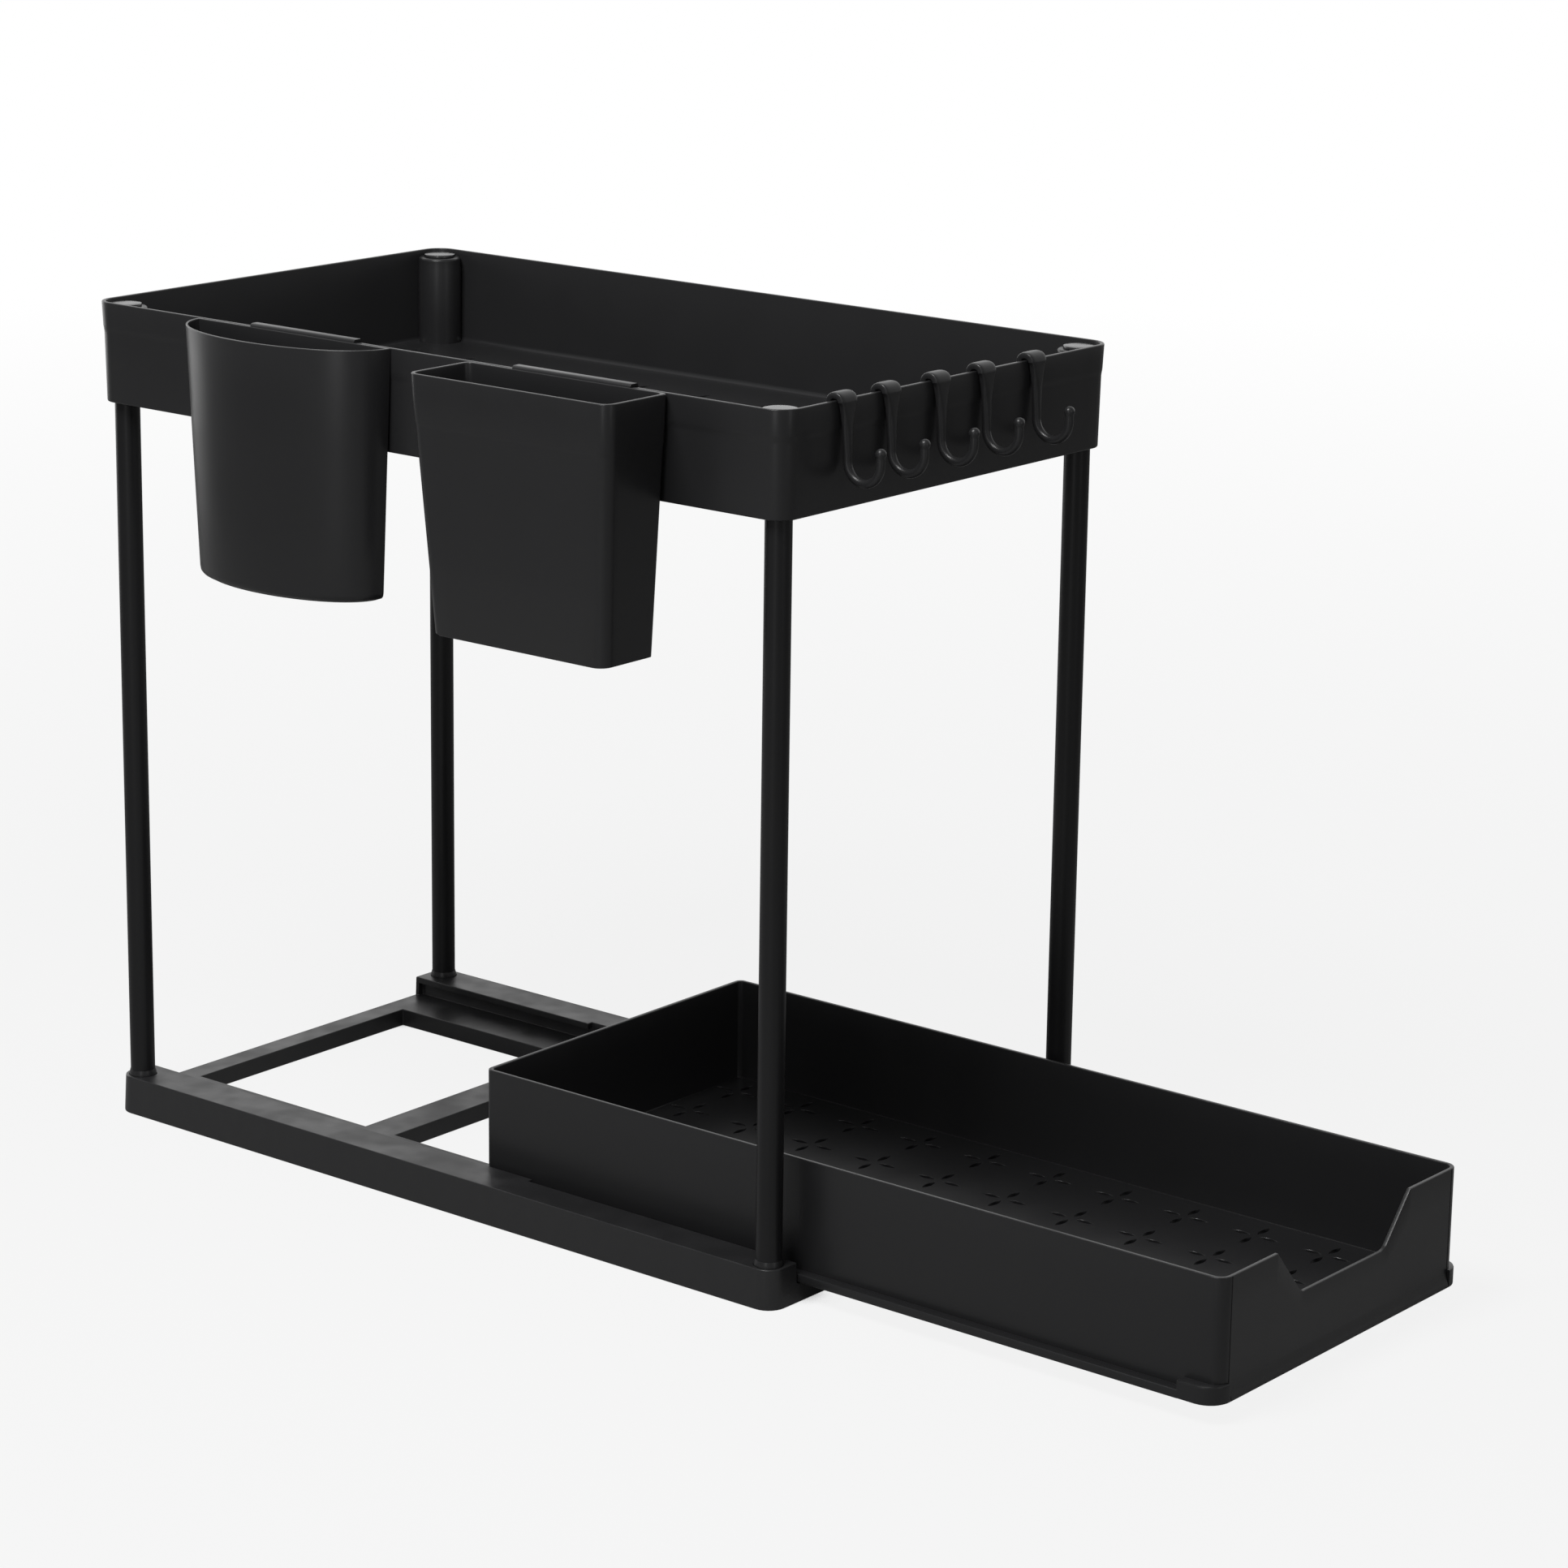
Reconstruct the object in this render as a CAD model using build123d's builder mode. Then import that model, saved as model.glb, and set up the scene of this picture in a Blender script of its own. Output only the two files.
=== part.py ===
from build123d import *
import os

# Under sink organizer: a base frame on the floor, four tubular poles, a top tray on the poles,
# a drawer that slides out of the base, two cups and five hooks that hang on the tray's rim.
# Millimetres, +Z up. The origin is the middle of the base's footprint, on the floor.
# The drawer comes out towards -Y, and both cups hang on the -X side.

os.makedirs("parts", exist_ok=True)

# Poles
pole_span_x = 217.2
pole_span_y = 400.0
pole_radius = 6.0
pole_wall = 1.0

# Base frame
base_height = 18.7
base_foot_margin = 9.3
base_top_margin = 8.4
base_wall = 2.5
rail_width = 17.9
ledge_height = 8.8
ledge_width = 26.1
end_bar_width = 13.3
middle_bar_width = 20.0
middle_bar_y = 72.0
lip_thickness = 3.0
lip_reach = 3.0
left_lip_end_share = -0.229
right_lip_end_share = 0.416
pole_floor = 2.5

# Foot sleeves, one round the bottom end of each pole
sleeve_wall = 0.65
sleeve_collar = 2.7
sleeve_chamfer = 0.5
sleeve_gap = 0.05

# Top tray
tray_bottom_z = 356.1
tray_height = 48.1
tray_wall = 2.0
tray_floor = 2.0
tray_bottom_margin = 9.4
tray_band_height = 11.3
tray_draft = 0.7
tray_band_step = 0.4
tray_rim_margin = 11.0
boss_radius = 10.75
boss_drop = 2.8
boss_top_thickness = 2.5
boss_fit = 0.15

# Pole caps
cap_radius = 7.9
cap_thickness = 1.6
cap_edge = 0.7
cap_plug_radius = 4.6
cap_plug_length = 14.0
cap_plug_fit = 0.2

# Drain flowers in the floors of the drawer and the tray
petal_start = 2.5
petal_end = 12.5
petal_width = 2.8
flowers_across = 5
flowers_along = 11
tray_flower_x_share = 0.1671
tray_flower_y_share = 0.0955
drawer_flower_x_share = 0.1947
drawer_flower_y_share = 0.0923

# Drawer
drawer_rear_margin = 3.3
drawer_height = 55.8
drawer_wall = 2.0
drawer_floor = 2.0
drawer_floor_lift = 3.5
drawer_front_corner = 6.0
drawer_rear_corner = 3.0
runner_reach = 5.3
runner_thickness = 4.0
runner_side_gap = 0.6
runner_foot_gap = 0.3
skirt_height = 8.3
skirt_length = 19.7
skirt_proud = 1.5
skirt_corner = 11.0
skirt_front_foot = 3.0
drawer_pulled_out = 221.9
rear_stop_gap = 0.3
notch_top_half = 52.6
notch_bottom_half = 33.0
notch_depth = 22.8
notch_corner = 6.0

# Hanging on the rim
hang_gap = 0.3
hang_inner_gap = 1.0

# Cups
cup_height = 117.0
cup_wall = 1.8
cup_foot_round = 3.0
cup_tab_thickness = 1.2
cup_tab_drop = 12.0
box_cup_place_share = -0.224
box_cup_rim_width = 116.5
box_cup_rim_depth = 40.0
box_cup_foot_width = 102.0
box_cup_foot_depth = 33.0
box_cup_corner = 6.0
box_cup_back_corner = 3.0
box_cup_band_height = 21.0
box_cup_band_step = 0.5
box_cup_tab_width = 68.4
box_cup_tab_shift = -3.2
round_cup_place_share = 0.1925
round_cup_rim_half = 61.2
round_cup_rim_depth = 33.0
round_cup_foot_half = 55.5
round_cup_foot_depth = 29.5
round_cup_tab_width = 66.0
round_cup_tab_shift = -6.4

# Hooks
hook_place_shares = (-0.364, -0.223, -0.06, 0.092, 0.265)
hook_thickness = 3.2
hook_width = 10.8
hook_neck_width = 6.8
hook_inner_drop = 8.0
hook_taper_drop = 0.8
hook_neck_drop = 7.0
hook_strap_drop = 24.0
hook_edge = 1.2
hook_wire_radius = 2.0
hook_wire_overlap = 12.0
hook_bend_drop = 26.2
hook_bend_radius = 9.0
hook_tip_rise = 5.0
hook_ball_radius = 2.5

# One overrun for every cut
overrun = 5.0

# Places worked out from the sizes above
pole_x = pole_span_x / 2
pole_y = pole_span_y / 2
corner_signs = {
    "rear_left": (-1, 1),
    "rear_right": (1, 1),
    "front_left": (-1, -1),
    "front_right": (1, -1),
}
base_half_y = pole_y + base_foot_margin
channel_half_x = pole_x + base_top_margin - rail_width
opening_half_x = channel_half_x - ledge_width
drawer_half_x = channel_half_x - runner_side_gap - runner_reach
drawer_length = 2 * base_half_y - skirt_proud - drawer_rear_margin
drawer_bottom_z = ledge_height + runner_foot_gap
drawer_rim_z = drawer_bottom_z + drawer_height
drawer_front_y = -(base_half_y - skirt_proud) - drawer_pulled_out
drawer_middle_y = drawer_front_y + drawer_length / 2
drawer_floor_z = drawer_bottom_z + drawer_floor_lift
lip_half_x = channel_half_x - lip_reach
channel_rear_y = drawer_front_y + drawer_length + drawer_pulled_out + rear_stop_gap
channel_length = channel_rear_y + base_half_y + overrun
sleeve_radius = pole_radius + sleeve_gap + sleeve_wall
socket_radius = sleeve_radius + sleeve_gap
tray_rim_z = tray_bottom_z + tray_height
tray_band_z = tray_rim_z - tray_band_height
tray_floor_z = tray_bottom_z + tray_floor
boss_top_z = tray_rim_z - boss_drop
boss_ceiling_z = boss_top_z - boss_top_thickness
tray_rim_x = pole_x + tray_rim_margin
tray_rim_y = pole_y + tray_rim_margin
cup_back_x = -(tray_rim_x + hang_gap)
cup_foot_z = tray_rim_z - cup_height
box_cup_y = box_cup_place_share * pole_span_y
round_cup_y = round_cup_place_share * pole_span_y


def pole_rectangle(margin):
    """Rounded rectangle round the four poles, its corners concentric with them."""
    with BuildSketch() as outline:
        RectangleRounded(pole_span_x + 2 * margin, pole_span_y + 2 * margin, margin)
    return outline.sketch


def drawer_outline(inset):
    """The drawer's plan, drawn in from its outer face by inset."""
    with BuildSketch() as outline:
        Rectangle(2 * (drawer_half_x - inset), drawer_length - 2 * inset)
        fillet(outline.vertices().group_by(Axis.Y)[0], drawer_front_corner - inset)
        fillet(outline.vertices().group_by(Axis.Y)[-1], drawer_rear_corner - inset)
    return outline.sketch


def drain_flowers(pitch_x, pitch_y):
    """Pointed petals, four to a flower, in rows along and across a floor."""
    petal_middle = (petal_start + petal_end) / 2
    with BuildSketch() as petal:
        with BuildLine():
            ThreePointArc((petal_start, 0), (petal_middle, petal_width / 2), (petal_end, 0))
            ThreePointArc((petal_end, 0), (petal_middle, -petal_width / 2), (petal_start, 0))
        make_face()
    with BuildSketch() as flower:
        with PolarLocations(0, 4):
            add(petal.sketch)
    with BuildSketch() as pattern:
        with GridLocations(pitch_x, pitch_y, flowers_across, flowers_along):
            add(flower.sketch)
    return pattern.sketch


def rim_hanger(thickness, inner_drop, outer_drop, edge):
    """Section of a strap over the rim: u is outward from the rim's outer top edge, v is up."""
    inner_face = -(tray_wall + hang_inner_gap)
    with BuildSketch() as section:
        with BuildLine():
            Polyline(
                (hang_gap, -outer_drop),
                (hang_gap + thickness, -outer_drop),
                (hang_gap + thickness, hang_gap + thickness),
                (inner_face - thickness, hang_gap + thickness),
                (inner_face - thickness, -inner_drop),
                (inner_face, -inner_drop),
                (inner_face, hang_gap),
                (hang_gap, hang_gap),
                close=True,
            )
        make_face()
        fillet(section.vertices().group_by(Axis.Y)[-1], edge)
    return section.sketch


# Base frame: raised rails with a lip over the drawer's runners, low ledges and four low bars
with BuildPart() as base_frame:
    with BuildSketch():
        add(pole_rectangle(base_foot_margin))
    with BuildSketch(Plane.XY.offset(base_height)):
        add(pole_rectangle(base_top_margin))
    loft()

    # The drawer's way between the rails, open at both ends
    with BuildSketch(Plane.XY.offset(ledge_height)):
        Rectangle(2 * lip_half_x, 2 * (base_half_y + overrun))
    extrude(amount=base_height, mode=Mode.SUBTRACT)

    # Under the lips it is wider, from the front to a stop at the rear
    with BuildSketch(Plane((0, channel_rear_y, ledge_height))):
        Rectangle(2 * channel_half_x, channel_length, align=(Align.CENTER, Align.MAX))
    extrude(amount=base_height - lip_thickness - ledge_height, mode=Mode.SUBTRACT)

    # Each lip ends part of the way along its rail, and in front of it the way is wide right up
    for side, lip_end_share in ((-1, left_lip_end_share), (1, right_lip_end_share)):
        lip_end_y = lip_end_share * base_half_y
        with BuildSketch(Plane((side * channel_half_x / 2, lip_end_y, ledge_height))):
            Rectangle(channel_half_x, channel_length, align=(Align.CENTER, Align.MAX))
        extrude(amount=base_height, mode=Mode.SUBTRACT)

    # Openings between the bars
    outer_opening = base_half_y - end_bar_width - middle_bar_y - middle_bar_width / 2
    outer_opening_y = middle_bar_y + middle_bar_width / 2 + outer_opening / 2
    with BuildSketch(Plane.XY.offset(-overrun)):
        Rectangle(2 * opening_half_x, 2 * middle_bar_y - middle_bar_width)
        with Locations((0, outer_opening_y), (0, -outer_opening_y)):
            Rectangle(2 * opening_half_x, outer_opening)
    extrude(amount=ledge_height + 2 * overrun, mode=Mode.SUBTRACT)

    # Hollow underside: a channel along each rail, and one under each ledge and bar
    rail_hollow_in = channel_half_x + base_wall
    rail_hollow_out = pole_x + base_top_margin - base_wall
    rail_hollow_y = pole_y - socket_radius - base_wall
    ledge_hollow_in = opening_half_x + base_wall
    end_hollow = end_bar_width - 2 * base_wall
    with BuildSketch():
        for side in (-1, 1):
            with Locations((side * (rail_hollow_in + rail_hollow_out) / 2, 0)):
                Rectangle(rail_hollow_out - rail_hollow_in, 2 * rail_hollow_y)
    extrude(amount=base_height - base_wall, mode=Mode.SUBTRACT)
    with BuildSketch():
        for side in (-1, 1):
            with Locations((side * (ledge_hollow_in + channel_half_x) / 2, 0)):
                Rectangle(channel_half_x - ledge_hollow_in, 2 * (base_half_y - base_wall))
            with Locations((0, side * middle_bar_y)):
                Rectangle(2 * ledge_hollow_in, middle_bar_width - 2 * base_wall)
            with Locations((0, side * (base_half_y - end_bar_width / 2))):
                Rectangle(2 * ledge_hollow_in, end_hollow)
    extrude(amount=ledge_height - base_wall, mode=Mode.SUBTRACT)

    # Pole sockets
    with BuildSketch(Plane.XY.offset(pole_floor)):
        with GridLocations(pole_span_x, pole_span_y, 2, 2):
            Circle(socket_radius)
    extrude(amount=base_height, mode=Mode.SUBTRACT)

base_frame.part.label = "base_frame"
export_step(base_frame.part, "parts/base_frame.step")

# Top tray: the hollow is made first, with the four bosses left standing in it
with BuildPart() as tray_hollow:
    with BuildSketch(Plane.XY.offset(tray_floor_z)):
        add(pole_rectangle(tray_bottom_margin - tray_wall))
    with BuildSketch(Plane.XY.offset(tray_rim_z)):
        add(pole_rectangle(tray_rim_margin - tray_wall))
    loft()
    extrude(tray_hollow.faces().sort_by(Axis.Z)[-1], amount=overrun)
    with BuildSketch(Plane.XY.offset(tray_floor_z)):
        with GridLocations(pole_span_x, pole_span_y, 2, 2):
            Circle(boss_radius)
    extrude(amount=boss_top_z - tray_floor_z, mode=Mode.SUBTRACT)

with BuildPart() as top_tray:
    with BuildSketch(Plane.XY.offset(tray_bottom_z)):
        add(pole_rectangle(tray_bottom_margin))
    with BuildSketch(Plane.XY.offset(tray_band_z)):
        add(pole_rectangle(tray_bottom_margin + tray_draft))
    loft()
    with BuildSketch(Plane.XY.offset(tray_band_z)):
        add(pole_rectangle(tray_bottom_margin + tray_draft + tray_band_step))
    with BuildSketch(Plane.XY.offset(tray_rim_z)):
        add(pole_rectangle(tray_rim_margin))
    loft()
    add(tray_hollow.part, mode=Mode.SUBTRACT)

    # Sockets for the pole tops, and the holes that the caps' plugs go through
    with BuildSketch(Plane.XY.offset(tray_bottom_z)):
        with GridLocations(pole_span_x, pole_span_y, 2, 2):
            Circle(pole_radius + boss_fit)
    extrude(amount=boss_ceiling_z - tray_bottom_z, mode=Mode.SUBTRACT)
    with BuildSketch(Plane.XY.offset(boss_ceiling_z)):
        with GridLocations(pole_span_x, pole_span_y, 2, 2):
            Circle(cap_plug_radius + cap_plug_fit)
    extrude(amount=boss_top_thickness + overrun, mode=Mode.SUBTRACT)

    with BuildSketch(Plane.XY.offset(tray_bottom_z - overrun)):
        add(drain_flowers(tray_flower_x_share * pole_span_x, tray_flower_y_share * pole_span_y))
    extrude(amount=tray_floor + 2 * overrun, mode=Mode.SUBTRACT)

top_tray.part.label = "top_tray"
export_step(top_tray.part, "parts/top_tray.step")

# Poles, their caps on top and their sleeves at the foot
for corner, (sign_x, sign_y) in corner_signs.items():
    place_x = sign_x * pole_x
    place_y = sign_y * pole_y
    with BuildPart() as pole:
        with BuildSketch(Plane((place_x, place_y, pole_floor))):
            Circle(pole_radius)
            Circle(pole_radius - pole_wall, mode=Mode.SUBTRACT)
        extrude(amount=boss_ceiling_z - pole_floor)
    pole.part.label = "pole_" + corner
    export_step(pole.part, "parts/pole_" + corner + ".step")

    with BuildPart() as cap:
        with BuildSketch(Plane((place_x, place_y, boss_top_z))):
            Circle(cap_radius)
        extrude(amount=cap_thickness)
        fillet(cap.edges().filter_by(GeomType.CIRCLE).sort_by(Axis.Z)[-1], cap_edge)
        with BuildSketch(Plane((place_x, place_y, boss_top_z - cap_plug_length))):
            Circle(cap_plug_radius)
        extrude(amount=cap_plug_length)
    cap.part.label = "pole_cap_" + corner
    export_step(cap.part, "parts/pole_cap_" + corner + ".step")

    with BuildPart() as sleeve:
        with BuildSketch(Plane((place_x, place_y, pole_floor))):
            Circle(sleeve_radius)
        extrude(amount=base_height + sleeve_collar - pole_floor)
        chamfer(sleeve.edges().filter_by(GeomType.CIRCLE).sort_by(Axis.Z)[-1], sleeve_chamfer)
        with BuildSketch(Plane((place_x, place_y, pole_floor))):
            Circle(pole_radius + sleeve_gap)
        extrude(amount=base_height + sleeve_collar, mode=Mode.SUBTRACT)
    sleeve.part.label = "foot_sleeve_" + corner
    export_step(sleeve.part, "parts/foot_sleeve_" + corner + ".step")

# Drawer: a straight-sided tub with runners along its sides and a skirt round its front
with BuildPart() as drawer:
    with BuildSketch(Plane((0, drawer_middle_y, drawer_bottom_z))):
        add(drawer_outline(0))
    extrude(amount=drawer_height)

    with BuildSketch(Plane((0, drawer_front_y + drawer_length, drawer_bottom_z))):
        Rectangle(
            2 * (drawer_half_x + runner_reach),
            drawer_length - drawer_front_corner,
            align=(Align.CENTER, Align.MAX),
        )
    extrude(amount=runner_thickness)

    with BuildSketch(Plane((0, drawer_front_y - skirt_proud, drawer_bottom_z))) as skirt_plan:
        Rectangle(
            2 * (drawer_half_x + runner_reach), skirt_length, align=(Align.CENTER, Align.MIN)
        )
        fillet(skirt_plan.vertices().group_by(Axis.Y)[0], skirt_corner)
    extrude(amount=skirt_height)

    # Between its corners the skirt leans back into the front wall
    skirt_front_y = drawer_front_y - skirt_proud
    with BuildSketch(Plane.YZ):
        with BuildLine():
            Polyline(
                (drawer_front_y, drawer_bottom_z + skirt_height),
                (skirt_front_y, drawer_bottom_z + skirt_front_foot),
                (skirt_front_y - overrun, drawer_bottom_z + skirt_front_foot),
                (skirt_front_y - overrun, drawer_bottom_z + skirt_height),
                close=True,
            )
        make_face()
    extrude(amount=drawer_half_x - drawer_front_corner, both=True, mode=Mode.SUBTRACT)

    # Inside, above the floor
    with BuildSketch(Plane((0, drawer_middle_y, drawer_floor_z + drawer_floor))):
        add(drawer_outline(drawer_wall))
    extrude(amount=drawer_height, mode=Mode.SUBTRACT)

    # Recess under the floor
    with BuildSketch(Plane((0, drawer_middle_y, drawer_bottom_z))):
        add(drawer_outline(drawer_wall))
    extrude(amount=drawer_floor_lift, mode=Mode.SUBTRACT)

    # Grip notch in the front wall
    with BuildSketch(Plane.XZ.offset(-drawer_front_y - drawer_wall - overrun)) as notch:
        with BuildLine():
            Polyline(
                (-notch_bottom_half, drawer_rim_z - notch_depth),
                (notch_bottom_half, drawer_rim_z - notch_depth),
                (notch_top_half, drawer_rim_z),
                (notch_top_half, drawer_rim_z + overrun),
                (-notch_top_half, drawer_rim_z + overrun),
                (-notch_top_half, drawer_rim_z),
                close=True,
            )
        make_face()
        fillet(notch.vertices().group_by(Axis.Y)[0], notch_corner)
    extrude(amount=drawer_wall + 2 * overrun, mode=Mode.SUBTRACT)

    drawer_flower_x = drawer_flower_x_share * 2 * drawer_half_x
    drawer_flower_y = drawer_flower_y_share * drawer_length
    with BuildSketch(Plane((0, drawer_middle_y, drawer_floor_z - overrun))):
        add(drain_flowers(drawer_flower_x, drawer_flower_y))
    extrude(amount=drawer_floor + 2 * overrun, mode=Mode.SUBTRACT)

drawer.part.label = "drawer"
export_step(drawer.part, "parts/drawer.step")


def box_cup_plan(width, depth, inset):
    """Rectangle with its back on the wall plane and rounder corners in front."""
    with BuildSketch() as plan:
        with Locations((-inset, 0)):
            Rectangle(depth - 2 * inset, width - 2 * inset, align=(Align.MAX, Align.CENTER))
        fillet(plan.vertices().group_by(Axis.X)[0], box_cup_corner - inset)
        fillet(plan.vertices().group_by(Axis.X)[-1], box_cup_back_corner - inset)
    return plan.sketch


def round_cup_plan(half_width, depth, inset):
    """Half an ellipse that bulges from a straight back."""
    with BuildSketch() as plan:
        with BuildLine():
            EllipticalCenterArc(
                (-inset, 0), depth - 2 * inset, half_width - inset, start_angle=90, arc_size=180
            )
            Line((-inset, half_width - inset), (-inset, inset - half_width))
        make_face()
    return plan.sketch


def cup_plane(middle_y, height):
    """Plane in the cup's back face, at a height above the floor."""
    return Plane((cup_back_x, middle_y, height))


# Rectangular cup: drafted shell, a band that stands proud under the rim, and a tab
box_cup_band_z = tray_rim_z - box_cup_band_height
band_share = (cup_height - box_cup_band_height) / cup_height
box_cup_band_width = box_cup_foot_width + band_share * (box_cup_rim_width - box_cup_foot_width)
box_cup_band_depth = box_cup_foot_depth + band_share * (box_cup_rim_depth - box_cup_foot_depth)
with BuildPart() as rectangular_cup:
    with BuildSketch(cup_plane(box_cup_y, cup_foot_z)):
        add(box_cup_plan(box_cup_foot_width, box_cup_foot_depth, 0))
    with BuildSketch(cup_plane(box_cup_y, box_cup_band_z)):
        add(box_cup_plan(box_cup_band_width - box_cup_band_step, box_cup_band_depth, 0))
    loft()
    with BuildSketch(cup_plane(box_cup_y, box_cup_band_z)):
        add(
            box_cup_plan(
                box_cup_band_width + box_cup_band_step,
                box_cup_band_depth + box_cup_band_step,
                0,
            )
        )
    with BuildSketch(cup_plane(box_cup_y, tray_rim_z)):
        add(box_cup_plan(box_cup_rim_width, box_cup_rim_depth, 0))
    loft()
    with BuildSketch(cup_plane(box_cup_y, cup_foot_z + cup_wall)):
        add(box_cup_plan(box_cup_foot_width, box_cup_foot_depth, cup_wall))
    with BuildSketch(cup_plane(box_cup_y, tray_rim_z)):
        add(box_cup_plan(box_cup_rim_width, box_cup_rim_depth, cup_wall))
    loft(mode=Mode.SUBTRACT)
    tab_y = box_cup_y + box_cup_tab_shift
    with BuildSketch(Plane((-tray_rim_x, tab_y, tray_rim_z), x_dir=(-1, 0, 0), z_dir=(0, 1, 0))):
        add(rim_hanger(cup_tab_thickness, cup_tab_drop, cup_tab_drop, cup_tab_thickness / 2))
    extrude(amount=box_cup_tab_width / 2, both=True)

rectangular_cup.part.label = "rectangular_cup"
export_step(rectangular_cup.part, "parts/rectangular_cup.step")

# Half-round cup: the same shell on half an ellipse, rounded at the foot
with BuildPart() as half_round_cup:
    for height, half_width, depth in (
        (cup_foot_z, round_cup_foot_half - cup_foot_round, round_cup_foot_depth - cup_foot_round),
        (cup_foot_z + cup_foot_round, round_cup_foot_half, round_cup_foot_depth),
        (tray_rim_z, round_cup_rim_half, round_cup_rim_depth),
    ):
        with BuildSketch(cup_plane(round_cup_y, height)):
            add(round_cup_plan(half_width, depth, 0))
    loft(ruled=True)
    with BuildSketch(cup_plane(round_cup_y, cup_foot_z + cup_wall)):
        add(
            round_cup_plan(
                round_cup_foot_half - cup_foot_round, round_cup_foot_depth - cup_foot_round, cup_wall
            )
        )
    with BuildSketch(cup_plane(round_cup_y, cup_foot_z + cup_foot_round + cup_wall)):
        add(round_cup_plan(round_cup_foot_half, round_cup_foot_depth, cup_wall))
    with BuildSketch(cup_plane(round_cup_y, tray_rim_z)):
        add(round_cup_plan(round_cup_rim_half, round_cup_rim_depth, cup_wall))
    loft(ruled=True, mode=Mode.SUBTRACT)
    tab_y = round_cup_y + round_cup_tab_shift
    with BuildSketch(Plane((-tray_rim_x, tab_y, tray_rim_z), x_dir=(-1, 0, 0), z_dir=(0, 1, 0))):
        add(rim_hanger(cup_tab_thickness, cup_tab_drop, cup_tab_drop, cup_tab_thickness / 2))
    extrude(amount=round_cup_tab_width / 2, both=True)

half_round_cup.part.label = "half_round_cup"
export_step(half_round_cup.part, "parts/half_round_cup.step")

# Hooks: a flat strap over the rim that narrows to a round wire, bent outwards to a ball tip
wire_u = hang_gap + hook_wire_radius
for number, hook_place_share in enumerate(hook_place_shares, start=1):
    hook_x = hook_place_share * pole_span_x
    side_plane = Plane((hook_x, -tray_rim_y, tray_rim_z), x_dir=(0, -1, 0), z_dir=(-1, 0, 0))
    with BuildPart() as hook:
        with BuildSketch(side_plane):
            add(rim_hanger(hook_thickness, hook_inner_drop, hook_strap_drop, hook_edge))
        extrude(amount=hook_width / 2, both=True)

        # Front view of the strap, wide over the rim and as narrow as the wire below
        with BuildSketch(Plane((hook_x, -tray_rim_y, tray_rim_z), x_dir=(1, 0, 0), z_dir=(0, -1, 0))):
            with BuildLine():
                Polyline(
                    (-hook_wire_radius, -hook_strap_drop),
                    (hook_wire_radius, -hook_strap_drop),
                    (hook_neck_width / 2, -hook_neck_drop),
                    (hook_width / 2, -hook_taper_drop),
                    (hook_width / 2, hook_strap_drop),
                    (-hook_width / 2, hook_strap_drop),
                    (-hook_width / 2, -hook_taper_drop),
                    (-hook_neck_width / 2, -hook_neck_drop),
                    close=True,
                )
            make_face()
        extrude(amount=hook_strap_drop, both=True, mode=Mode.INTERSECT)

        with BuildLine(side_plane) as wire_path:
            Polyline((wire_u, hook_wire_overlap - hook_strap_drop), (wire_u, -hook_bend_drop))
            ThreePointArc(
                (wire_u, -hook_bend_drop),
                (wire_u + hook_bend_radius, -hook_bend_drop - hook_bend_radius),
                (wire_u + 2 * hook_bend_radius, -hook_bend_drop),
            )
            Line(
                (wire_u + 2 * hook_bend_radius, -hook_bend_drop),
                (wire_u + 2 * hook_bend_radius, hook_tip_rise - hook_bend_drop),
            )
        with BuildSketch(Plane(wire_path.line @ 0, z_dir=wire_path.line % 0)):
            Circle(hook_wire_radius)
        sweep(path=wire_path.line)
        with Locations(wire_path.line @ 1):
            Sphere(hook_ball_radius)

    hook.part.label = "hook_" + str(number)
    export_step(hook.part, "parts/hook_" + str(number) + ".step")
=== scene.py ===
# %% [markdown]
# # Under sink organizer
#
# A black organizer for the space under a sink: a frame on the floor, four tubular poles, a tray on top, a
# drawer that slides out of the frame, and two cups and five hooks that hang on the tray's rim. The packed
# model is a fixed frame in metres, +Z up, with the drawer's pull towards -Y. This file gives it its looks.

# %% The fixed frame
import math

import bmesh
import bpy
import numpy as np
from mathutils import Matrix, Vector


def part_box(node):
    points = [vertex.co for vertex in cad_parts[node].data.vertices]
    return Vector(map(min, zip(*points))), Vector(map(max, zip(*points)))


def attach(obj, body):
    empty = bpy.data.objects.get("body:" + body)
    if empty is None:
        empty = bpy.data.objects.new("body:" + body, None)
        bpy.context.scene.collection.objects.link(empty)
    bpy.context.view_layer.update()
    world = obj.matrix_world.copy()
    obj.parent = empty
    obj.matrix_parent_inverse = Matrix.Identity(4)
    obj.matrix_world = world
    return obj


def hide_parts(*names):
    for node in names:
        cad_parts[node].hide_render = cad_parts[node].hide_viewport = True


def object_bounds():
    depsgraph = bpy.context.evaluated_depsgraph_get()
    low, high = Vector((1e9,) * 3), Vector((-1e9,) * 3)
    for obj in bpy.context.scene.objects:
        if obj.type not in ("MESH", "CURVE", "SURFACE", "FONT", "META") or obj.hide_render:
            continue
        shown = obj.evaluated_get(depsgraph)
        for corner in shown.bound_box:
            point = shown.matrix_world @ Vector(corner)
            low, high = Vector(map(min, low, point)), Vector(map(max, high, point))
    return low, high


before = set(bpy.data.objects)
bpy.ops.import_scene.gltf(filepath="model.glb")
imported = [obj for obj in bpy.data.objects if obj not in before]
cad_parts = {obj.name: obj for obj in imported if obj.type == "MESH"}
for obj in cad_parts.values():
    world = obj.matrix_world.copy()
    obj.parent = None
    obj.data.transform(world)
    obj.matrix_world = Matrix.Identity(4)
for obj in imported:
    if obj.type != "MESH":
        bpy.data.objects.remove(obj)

cad_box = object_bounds()
MM = 0.001


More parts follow.
